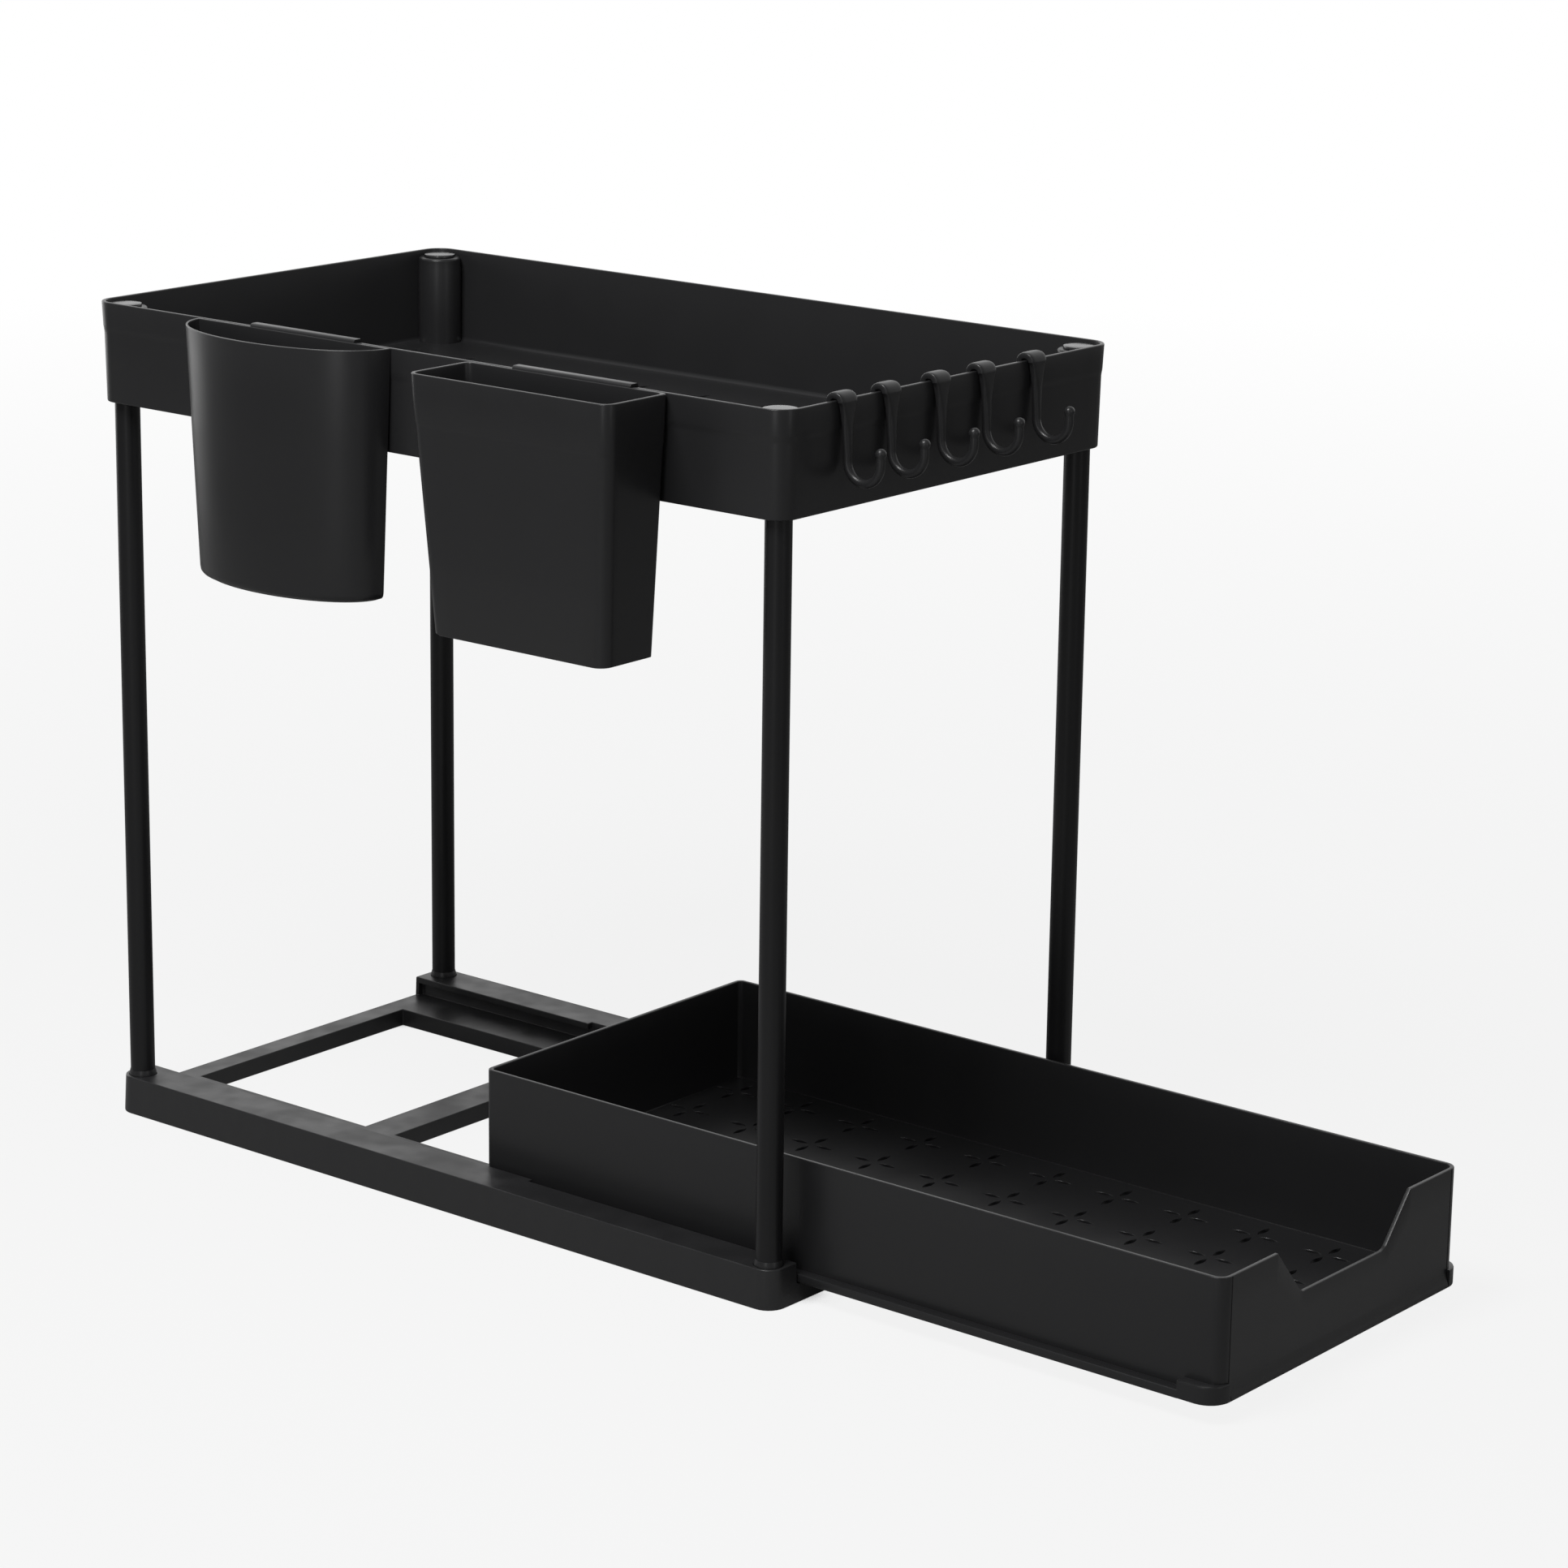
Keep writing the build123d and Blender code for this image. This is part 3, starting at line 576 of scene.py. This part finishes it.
def skirt_grid():
    """The skirt: a section carried round the front, from one side over both corners to the other.

    Between the corners it leans back: its reach shrinks with height as a power of what is left."""
    flat_x = np.concatenate([[0.0, 0.5 * parting_x], parting_x + np.array((-0.45, 0.0, 0.25)) * MM])

    def line(side_x, low_y, radius):
        flat = np.stack([flat_x, np.full_like(flat_x, low_y)], axis=1)
        arc = quarter_arc(side_x - radius, low_y + radius, radius, -math.pi / 2)
        right_half = np.concatenate([flat, arc, [(side_x, skirt_rear)]])
        return np.concatenate([right_half[:0:-1] * (-1, 1), right_half])

    outer = line(drawer_high[0], drawer_low[1], skirt_corner)
    inner = line(drawer_half - into_wall, drawer_front + into_wall, front_corner - into_wall)
    inward = (inner - outer) / np.linalg.norm(inner - outer, axis=1, keepdims=True)
    from_middle = np.abs(outer[:, 0])
    leaning = from_middle < parting_x + parting_near
    grooved = np.abs(from_middle - parting_x) < same_place
    ease, bend = skirt_ease, 0.3 * skirt_ease
    heights = [(None, 0.0), (ease, 0.0), (bend, bend), (0.0, ease)]
    heights += [(0.0, z) for z in np.linspace(skirt_foot, skirt_height - 2 * ease, 6)]
    heights += [(0.0, skirt_height - ease), (bend, skirt_height - bend), (ease, skirt_height),
                (None, skirt_height)]
    rows = []
    for drawn, z in heights:
        plan = inner.copy() if drawn is None else outer + inward * drawn
        left = np.clip((skirt_height - z) / (skirt_height - skirt_foot), 0, 1) ** lean_power
        back = drawer_front + lean_gap - left * (skirt_proud + lean_gap)
        plan[leaning, 1] = np.maximum(plan[leaning, 1], back)
        plan[grooved, 1] = np.minimum(plan[grooved, 1] + parting_depth, drawer_front + into_wall)
        rows.append(at_height(plan, drawer_low[2] + z))
    return (np.stack(rows, axis=1), False, True, True)


drawer_guides = piece_from_grids("drawer_runners_and_skirt",
                                 [runner_grid(-1), runner_grid(1), skirt_grid()])
dress(drawer_guides, moulded_black_pp, "drawer", "black_plastic")

# %% [markdown]
# ## Base frame
#
# The base is a moulding with ledges, bars, lips and sockets, and the fixed frame already has all of them at
# their real places. Only its edges are wrong: a moulded edge is never sharp, and a thin bright line runs
# along it. So this piece is a merged copy of that solid, with every corner between two faces eased.

# %% Base frame with eased edges
cad_merge, level_within = 0.005 * MM, 0.1 * MM
flat_angle, edge_angle = math.radians(1.0), math.radians(30)


def eased_copy(node, name, ease, skip_z):
    """Copies a node's mesh, merges its loose triangles and eases its edges by a bevel.

    Level edges with their height between the two of skip_z are left sharp: they are under a lip."""
    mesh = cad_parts[node].data.copy()
    mesh.name = name
    mesh.materials.clear()
    work = bmesh.new()
    work.from_mesh(mesh)
    bmesh.ops.remove_doubles(work, verts=work.verts, dist=cad_merge)
    bmesh.ops.dissolve_limit(work, angle_limit=flat_angle, verts=work.verts, edges=work.edges)
    weight = work.edges.layers.float.new("bevel_weight_edge")
    for edge in work.edges:
        high = max(vertex.co.z for vertex in edge.verts)
        level = abs(edge.verts[0].co.z - edge.verts[1].co.z) < level_within
        lip_edge = level and skip_z[0] < high < skip_z[1]
        eased = len(edge.link_faces) == 2 and edge.calc_face_angle(0.0) > edge_angle
        edge[weight] = float(eased and not lip_edge)
    work.to_mesh(mesh)
    work.free()
    mesh.shade_smooth()
    mesh.set_sharp_from_angle(angle=edge_angle)
    piece = add_object(name, mesh)
    bevel = piece.modifiers.new("eased_edges", "BEVEL")
    bevel.width = ease
    bevel.segments = 3
    bevel.limit_method = "WEIGHT"
    bevel.harden_normals = True
    bevel.use_clamp_overlap = True
    return piece


lip_under_z, near_lip, base_ease = 15.7 * MM, 0.2 * MM, 0.5 * MM
base = eased_copy("base_frame", "base_frame_moulding", base_ease,
                  (lip_under_z - near_lip, lip_under_z + near_lip))
dress(base, sunk_black_pp, "frame", "black_plastic", "base_frame")

# %% [markdown]
# ## Poles, sleeves and caps
#
# These are all round, so each is a profile turned about the pole's axis. The tube shows no end. The sleeve
# shows only its collar above the rail, which thins upwards to the tube, and the cap is a thin mushroom head.

# %% Turned pieces
def turned(name, x, y, profile):
    """Turns a profile of (radius, height) about an upright axis through (x, y)."""
    turn = full_turn(turned_points)
    radius, z = np.array(profile).T
    plan_x = x + radius[None, :] * np.cos(turn)[:, None]
    plan_y = y + radius[None, :] * np.sin(turn)[:, None]
    grid = np.stack([plan_x, plan_y, np.broadcast_to(z, plan_x.shape)], axis=2)
    return piece_from_grids(name, [(grid, True, False, False)])


tube_wall, sleeve_gap = 1.0 * MM, 0.05 * MM
# The collar's upper end as (drawn in, down from the top).
collar_steps = np.array(((0.0, 2.4), (0.15, 1.6), (0.4, 0.5), (0.55, 0.0))) * MM
cap_edge, cap_crown, crown_reach, cap_ease = 0.6 * MM, 0.08 * MM, 3.0 * MM, 0.2 * MM
plug, plug_ease, plug_lead = 4.6 * MM, 0.2 * MM, 0.4 * MM
for corner, sign_x, sign_y in (("rear_left", -1, 1), ("rear_right", 1, 1),
                               ("front_left", -1, -1), ("front_right", 1, -1)):
    x, y = sign_x * pole_x, sign_y * pole_y
    low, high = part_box("pole_" + corner)
    tube = (high[0] - low[0]) / 2
    bore = tube - tube_wall
    pole = turned("pole_tube_" + corner, x, y,
                  [(bore, low[2]), (tube, low[2]), (tube, high[2]), (bore, high[2]), (bore, low[2])])
    dress(pole, baked_black_enamel, "frame", "black_pole", "pole_" + corner)
    low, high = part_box("foot_sleeve_" + corner)
    collar, inside = (high[0] - low[0]) / 2, tube + sleeve_gap
    sleeve = turned("sleeve_" + corner, x, y,
                    [(inside, low[2]), (collar, low[2])]
                    + [(collar - drawn, high[2] - down) for drawn, down in collar_steps]
                    + [(inside, high[2]), (inside, low[2])])
    dress(sleeve, moulded_black_pp, "frame", "black_plastic", "foot_sleeve_" + corner)
    low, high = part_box("pole_cap_" + corner)
    head = (high[0] - low[0]) / 2
    under = high[2] - cap_thickness
    cap = turned("mushroom_cap_" + corner, x, y,
                 [(0.0, low[2]), (plug - plug_ease, low[2]), (plug, low[2] + plug_lead), (plug, under),
                  (head - cap_ease, under), (head, under + cap_ease), (head, high[2] - cap_edge),
                  (head - 0.3 * cap_edge, high[2] - 0.35 * cap_edge),
                  (head - cap_edge, high[2] - cap_crown), (head - crown_reach, high[2]), (0.0, high[2])])
    dress(cap, glossy_black_pp, "frame", "black_plastic", "pole_cap_" + corner)

# %% [markdown]
# ## Cups
#
# Both cups are thin drafted shells that hang on the tray's rim by a wide tab. One sheet makes the shell: it
# starts in the middle of the foot, runs out and up the outer face, over the rim, down inside and back to the
# middle of the inner floor. The half-round cup's plan is half an ellipse, the other one's a rounded box.

# %% Plans of the cups
cup_wall, cup_rim_round, cup_ease = 1.8 * MM, 0.45 * MM, 0.6 * MM
box_front_round, box_back_round = 6.0 * MM, 3.0 * MM
rim_gap = 0.3 * MM
cup_back = -(tray_high[0] + rim_gap)


def box_plan(middle_y, width, depth, inset):
    """Rectangle behind the cup's back face, with rounder corners in front, drawn in by an inset."""
    front, back = box_front_round - inset, box_back_round
    near, far = cup_back - inset, cup_back - depth + inset
    half = width / 2 - inset
    corners = [quarter_arc(near - back, middle_y + half - back, back, 0),
               quarter_arc(far + front, middle_y + half - front, front, math.pi / 2),
               quarter_arc(far + front, middle_y - half + front, front, math.pi),
               quarter_arc(near - back, middle_y - half + back, back, 1.5 * math.pi)]
    pieces = []
    for this, after in zip(corners, corners[1:] + corners[:1]):
        pieces += [this, np.linspace(this[-1], after[0], 12)[1:-1]]
    return np.concatenate(pieces)


def round_plan(middle_y, half, depth, inset):
    """Half an ellipse on the back face: depth times the sine, half the width times the cosine."""
    turn = np.linspace(0, math.pi, 49)
    bulge = np.stack([cup_back - inset - (depth - 2 * inset) * np.sin(turn),
                      middle_y + (half - inset) * np.cos(turn)], axis=1)
    back = np.linspace(bulge[-1], bulge[0], 14)[1:-1]
    return np.concatenate([bulge, back])


def cup_shell(plan, stations, foot_z, rim_z):
    """Closed shell from stations (share of the height, plan sizes); inside follows outside at the wall.

    Foot and floor are rings drawn in towards the middle: the middle plus a share of the way out."""
    foot, inner = plan(*stations[0][1], 0.0), plan(*stations[0][1], cup_wall)
    middle = foot.mean(axis=0)
    rings = (0.0, 0.5, 0.97)
    low_z, floor_z = foot_z + cup_ease, foot_z + cup_wall
    bend_z = floor_z + cup_ease
    rows = [at_height(middle + share * (foot - middle), foot_z) for share in rings]
    rows += [at_height(plan(*sizes, 0.0), low_z + share * (rim_z - cup_rim_round - low_z))
             for share, sizes in stations]
    rows += [at_height(plan(*stations[-1][1], inset), rim_z - drop)
             for inset, drop in over_rim(cup_wall, cup_rim_round)[1:]]
    rows += [at_height(plan(*sizes, cup_wall), bend_z + share * (rim_z - bend_z))
             for share, sizes in stations[-2::-1]]
    rows += [at_height(middle + share * (inner - middle), floor_z) for share in rings[::-1]]
    return (np.stack(rows, axis=1), True, False, False)


# %% [markdown]
# A tab is a strap over the rim, 1.2 mm thick, with eased edges: one section, carried along the rim.

# %% Straps over the rim
strap_inner_gap = 1.0 * MM
tab_thickness, tab_inner_drop, tab_outer_drop, tab_bend = 1.2 * MM, 12.0 * MM, 10.0 * MM, 0.9 * MM
tab_ease, tab_end_share = 0.4 * MM, 0.97


def strap_section(thickness, inner_drop, outer_drop, bend):
    """Middle line of a strap over the rim in (outward, up), with quarter circles at its two bends."""
    outer = high = rim_gap + thickness / 2
    inner = -(tray_wall + strap_inner_gap + thickness / 2)
    first, second = (quarter_arc(u, high - bend, bend, start, 6)[::-1]
                     for u, start in ((inner + bend, math.pi / 2), (outer - bend, 0)))
    return np.concatenate([[(inner, -inner_drop)], first, second, [(outer, -outer_drop)]])


def thickened(line, thickness):
    """Closed section round a middle line: half the thickness to each side, square to the line."""
    ahead = np.gradient(line, axis=0)
    ahead /= np.linalg.norm(ahead, axis=1, keepdims=True)
    square = np.stack([-ahead[:, 1], ahead[:, 0]], axis=1) * thickness / 2
    return np.concatenate([line + square, (line - square)[::-1]])


def tab_grid(middle_y, width):
    """A cup's tab: the strap's section carried along Y, drawn in a little at both ends."""
    section = thickened(strap_section(tab_thickness, tab_inner_drop, tab_outer_drop, tab_bend), tab_thickness)
    centre = section.mean(axis=0)
    half = width / 2
    rows = []
    for y, share in ((-half, tab_end_share), (tab_ease - half, 1.0),
                     (half - tab_ease, 1.0), (half, tab_end_share)):
        outline = centre + share * (section - centre)
        rows.append(np.stack([-tray_high[0] - outline[:, 0], np.full(len(outline), middle_y + y),
                              tray_high[2] + outline[:, 1]], axis=1))
    return (np.stack(rows), False, True, True)


# %% The two cups
box_low, box_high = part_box("rectangular_cup")
round_low, round_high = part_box("half_round_cup")
rim_z = tray_high[2]
box_y, round_y = (box_low[1] + box_high[1]) / 2, (round_low[1] + round_high[1]) / 2
box_width, box_depth = box_high[1] - box_low[1], cup_back - box_low[0]
round_half, round_depth = (round_high[1] - round_low[1]) / 2, cup_back - round_low[0]
box_foot, round_foot, foot_edge = (102.0 * MM, 33.0 * MM), (55.5 * MM, 29.5 * MM), 3.0 * MM
box_tab_shift, box_tab_width, round_tab_shift, round_tab_width = 3.2 * MM, 68.4 * MM, 6.4 * MM, 66.0 * MM


def between(start, end, share):
    """Sizes part of the way from one set to another."""
    return tuple(a + share * (b - a) for a, b in zip(start, end))


# A soft band near the rim: share of the height, and millimetres that the wall stands proud there.
band_steps = ((0.0, 0.0), (0.3, 0.0), (0.6, 0.0), (0.8, 0.0),
              (0.81, 0.1), (0.82, 0.3), (0.9, 0.25), (1.0, 0.0))
box_stations = []
for share, proud in band_steps:
    width, depth = between(box_foot, (box_width, box_depth), share)
    box_stations.append((share, (box_y, width + 2 * proud * MM, depth + proud * MM)))
box_cup = [cup_shell(box_plan, box_stations, box_low[2], rim_z),
           tab_grid(box_y - box_tab_shift, box_tab_width)]
dress(piece_from_grids("rectangular_cup_shell", box_cup), moulded_black_pp,
      "rectangular_cup", "black_plastic", "rectangular_cup")

# The round cup's foot has a quarter circle for its edge, so low down the plan is drawn in.
round_stations = []
for share in (0.0, 0.006, 0.015, 0.03, 0.3, 0.6, 1.0):
    half, depth = between(round_foot, (round_half, round_depth), share)
    rise = min(share * (rim_z - round_low[2]) / foot_edge, 1.0)
    drawn_in = foot_edge * (1 - math.sqrt(1 - (1 - rise) ** 2))
    round_stations.append((share, (round_y, half - drawn_in, depth - drawn_in)))
round_cup = [cup_shell(round_plan, round_stations, round_low[2], rim_z),
             tab_grid(round_y - round_tab_shift, round_tab_width)]
dress(piece_from_grids("half_round_cup_shell", round_cup), moulded_black_pp,
      "half_round_cup", "black_plastic", "half_round_cup")

# %% [markdown]
# ## Hooks
#
# A hook is one moulding that changes shape along its length: a flat strap over the rim, a stem that narrows,
# and a round wire bent up to a ball tip. So it is a section carried along a path, and the section's width,
# thickness and squareness are functions of the way along it.

# %% Hooks
hook_strap, hook_width, hook_neck, wire = 3.2 * MM, 10.8 * MM, 6.6 * MM, 4.0 * MM
strap_drop, strap_bend = 8.0 * MM, 2.7 * MM
shoulder_drop, hook_neck_drop, hook_stem_drop = 2.5 * MM, 7.0 * MM, 24.0 * MM
narrow_start, shoulder_start, shoulder_share = 2.0 * MM, 0.5 * MM, 0.8
hook_bend, hook_bend_drop, hook_tip_rise = 9.0 * MM, 26.2 * MM, 5.0 * MM
hook_ball, ball_share = 2.5 * MM, 0.8
strap_power, wire_power, power_pace = 6.0, 2.0, 2.2
end_ease = 0.8 * MM


def hook_path():
    """Middle line in (outward, up), how far each point has narrowed, and how many points the strap has."""
    strap = strap_section(hook_strap, strap_drop, strap_drop, strap_bend)[:-1]
    stem_v = -np.concatenate([np.linspace(1.0, 8.0, 8), np.linspace(10.0, hook_bend_drop / MM, 9)]) * MM
    narrow = np.clip((-stem_v - narrow_start) / (hook_stem_drop - narrow_start), 0, 1)
    stem = np.stack([rim_gap + (hook_strap + narrow * (wire - hook_strap)) / 2, stem_v], axis=1)
    wire_u = rim_gap + wire / 2
    turn = np.linspace(0, math.pi, 25)[1:]
    bend = np.stack([wire_u + hook_bend - hook_bend * np.cos(turn),
                     -hook_bend_drop - hook_bend * np.sin(turn)], axis=1)
    rise = np.concatenate([[0.4, 0.7], 1.0 + 0.5 * np.sin(np.linspace(-0.9, math.pi / 2, 9))])
    tip = np.stack([np.full_like(rise, wire_u + 2 * hook_bend),
                    rise * hook_tip_rise - hook_bend_drop], axis=1)
    narrow = np.concatenate([np.zeros(len(strap)), narrow, np.ones(len(bend) + len(tip))])
    return np.concatenate([strap, stem, bend, tip]), narrow, len(strap)


def hook_grid(middle_x):
    """Superellipse section along the hook's path; a high power is nearly a rectangle, power 2 an oval.

    Down the stem the width falls fast to a neck and then slowly to the wire's; the thickness and the
    power change evenly, so a soft ridge shows. Near the tip both are the ball's: twice the root of its
    radius squared less the distance squared. The first two rows close the strap's inner end."""
    path, narrow, strap_count = hook_path()
    way = np.concatenate([[0], np.cumsum(np.linalg.norm(np.diff(path, axis=0), axis=1))])
    width = np.interp(-path[:, 1], (shoulder_start, shoulder_drop, hook_neck_drop, hook_stem_drop),
                      (hook_width, shoulder_share * hook_width, hook_neck, wire))
    width[:strap_count] = hook_width
    width[narrow == 1.0] = wire
    thick = hook_strap + narrow * (wire - hook_strap)
    power = strap_power + np.clip(power_pace * narrow, 0, 1) * (wire_power - strap_power)
    ball_centre = way[-1] - hook_ball
    ball = 2 * np.sqrt(np.clip(hook_ball ** 2 - (way - ball_centre) ** 2, 0, None))
    ball = np.maximum(ball, np.where(way > ball_centre, 0.0, wire))
    near_tip = way > ball_centre - ball_share * hook_ball
    width, thick = np.where(near_tip, ball, width), np.where(near_tip, ball, thick)
    start = np.array((0.0, 0.01, 0.3)) * MM
    path = np.concatenate([path[0] + np.stack([0 * start, start], axis=1), path[1:]])
    width = np.concatenate([[0.0, hook_width - end_ease], width])
    thick = np.concatenate([[0.0, hook_strap - end_ease], thick])
    power = np.concatenate([power[:2], power])
    cos, sin = np.cos(full_turn(hook_points))[None, :], np.sin(full_turn(hook_points))[None, :]
    across = width[:, None] / 2 * np.sign(cos) * np.abs(cos) ** (2 / power[:, None])
    square = thick[:, None] / 2 * np.sign(sin) * np.abs(sin) ** (2 / power[:, None])
    ahead = np.gradient(path, axis=0)
    ahead /= np.maximum(np.linalg.norm(ahead, axis=1, keepdims=True), 1e-9)
    u = path[:, :1] - ahead[:, 1:] * square
    v = path[:, 1:] + ahead[:, :1] * square
    points = np.stack([middle_x + across, tray_low[1] - u, tray_high[2] + v], axis=2)
    return (points, False, True, False)


for number in range(1, 6):
    node = "hook_" + str(number)
    low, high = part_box(node)
    hook = piece_from_grids("rim_" + node, [hook_grid((low[0] + high[0]) / 2)])
    dress(hook, moulded_black_pp, node, "black_hook", node)

# %% [markdown]
# ## Floor, light and background
#
# The organizer stands on a plain pale floor in a white surround. A soft box hangs over its left side, because
# in the photograph every rim has a thin bright edge and the left sides are lighter than the front, most of
# all low down, where they mirror the floor close by. Three dim white cards stand round it as in a small
# studio: the one behind gives the round cup the bright line down its far edge, the ones on the left and in
# front give the rounded corner its two soft lines. As light the surround is dim, but the eye sees it white,
# and reflections see it white where the backdrop stands. The floor is lifted towards white for the eye, and
# a soft shadow stays on it.

# %% Stage
def shown_rays(tree, camera_share, mirror_share):
    """Adds nodes that give one share to camera rays and another to glossy and transmission rays.

    Returns the camera's part alone, so that its share can be linked, and the sum of both."""
    paths = add_node(tree, "LightPath")
    camera_part = add_node(tree, "Math", {"operation": "MULTIPLY"}, {1: camera_share},
                           {0: (paths, "Is Camera Ray")})
    mirrored = add_node(tree, "Math", {"operation": "MAXIMUM"}, None,
                        {0: (paths, "Is Glossy Ray"), 1: (paths, "Is Transmission Ray")})
    return camera_part, add_node(tree, "Math", {"operation": "MULTIPLY_ADD"}, {1: mirror_share},
                                 {0: (mirrored, "Value"), 2: (camera_part, "Value")})


floor_size, floor_drop = 12.0, 0.05 * MM
lift_near, lift_far = (0.5, 0.87), (2.6, 1.0)
floor_mirror_share = 0.05
gap_reach, gap_dark, gap_open = 15 * MM, 0.1, 0.4
floor_mesh = bpy.data.meshes.new("studio_floor")
corners = np.array([(-1, -1, 0), (1, -1, 0), (1, 1, 0), (-1, 1, 0)]) * floor_size / 2
corners[:, 2] = cad_box[0][2] - floor_drop
floor_mesh.from_pydata(corners.tolist(), [], [(0, 1, 2, 3)])
floor = add_object("studio_floor", floor_mesh)
# Matt pale paper: lit by the lamps, and lifted towards white where the camera sees it. The share of white
# grows with the distance from the object, from the near (metres, share) to the far one.
pale_paper = bpy.data.materials.new("pale_matt_paper")
pale_paper.use_nodes = True
tree = pale_paper.node_tree
paper = tree.nodes["Principled BSDF"]
paper.inputs["Base Color"].default_value = paint("#ababab")
paper.inputs["Roughness"].default_value = 0.9
paper.inputs["IOR"].default_value = 1.1
white = add_node(tree, "Emission", None, {"Color": paint("#ffffff"), "Strength": 1.0})
place = add_node(tree, "TexCoord")
away = add_node(tree, "VectorMath", {"operation": "LENGTH"}, None, {"Vector": (place, "Object")})
lift = add_node(tree, "MapRange", None,
                {"From Min": lift_near[0], "From Max": lift_far[0],
                 "To Min": lift_near[1], "To Max": lift_far[1]}, {"Value": (away, "Value")})
# Right under a piece no light gets in, so there the paper isn't lifted and the drain slots look dark.
gap = add_node(tree, "AmbientOcclusion", {"samples": 8}, {"Distance": gap_reach})
open_share = add_node(tree, "MapRange", smooth,
                      {"From Min": gap_dark, "From Max": gap_open}, {"Value": (gap, "AO")})
lift_share = add_node(tree, "Math", {"operation": "MULTIPLY"}, None,
                      {0: (lift, "Result"), 1: (open_share, "Result")})
camera_part, shown = shown_rays(tree, 1.0, floor_mirror_share)
tree.links.new(lift_share.outputs["Value"], camera_part.inputs[1])
lifted = add_node(tree, "MixShader", None, None,
                  {0: (shown, "Value"), 1: (paper, "BSDF"), 2: (white, "Emission")})
tree.links.new(lifted.outputs["Shader"], tree.nodes["Material Output"].inputs["Surface"])
floor_mesh.materials.append(pale_paper)

world = bpy.data.worlds.new("white_surround")
bpy.context.scene.world = world
world.use_nodes = True
tree = world.node_tree
background = tree.nodes["Background"]
background.inputs["Color"].default_value = paint("#ffffff")
surround_light = 0.13
# The backdrop stands behind the object and to its right. Reflections see a dimmer room on the other sides.
backdrop_way, backdrop_edge, room_level = (0.78, 0.63, 0.0), 0.7, 0.2
place = add_node(tree, "TexCoord")
facing = add_node(tree, "VectorMath", {"operation": "DOT_PRODUCT"}, {1: backdrop_way},
                  {0: (place, "Generated")})
backdrop = add_node(tree, "MapRange", smooth,
                    {"From Min": 0.0, "From Max": backdrop_edge, "To Min": room_level, "To Max": 1.0},
                    {"Value": (facing, "Value")})
shown = shown_rays(tree, 1.0, 1.0)[1]
tree.links.new(backdrop.outputs["Result"], shown.inputs[1])
level = add_node(tree, "MapRange", None, {"To Min": surround_light, "To Max": 1.0},
                 {"Value": (shown, "Value")})
tree.links.new(level.outputs["Result"], background.inputs["Strength"])

# %% Lamps
# Name, place and aim in metres, width and height in metres, watts.
lamps = (
    ("soft_box_above", (-0.8, -0.1, 1.5), (-0.1, -0.05, 0.1), (0.6, 0.6), 19.0),
    ("white_card_behind", (0.1, 1.5, 0.4), (0.0, 0.0, 0.3), (1.0, 0.7), 2.8),
    ("white_card_left", (-1.6, -0.62, 0.65), (0.0, 0.0, 0.2), (0.4, 1.2), 2.5),
    ("white_card_front", (-0.25, -1.9, 0.65), (0.0, 0.0, 0.2), (0.2, 1.2), 1.3),
)
for name, place, aim, size, watts in lamps:
    lamp_data = bpy.data.lights.new(name, "AREA")
    lamp_data.shape = "RECTANGLE"
    lamp_data.size, lamp_data.size_y = size
    lamp_data.energy = watts
    lamp = add_object(name, lamp_data)
    lamp.location = place
    way = np.array(aim) - np.array(place)
    tilt, heading = math.acos(-way[2] / np.linalg.norm(way)), math.atan2(way[1], way[0])
    lamp.rotation_euler = (tilt, 0, heading - math.pi / 2)
    lamp.visible_camera = False
bpy.context.scene.view_settings.view_transform = "Standard"
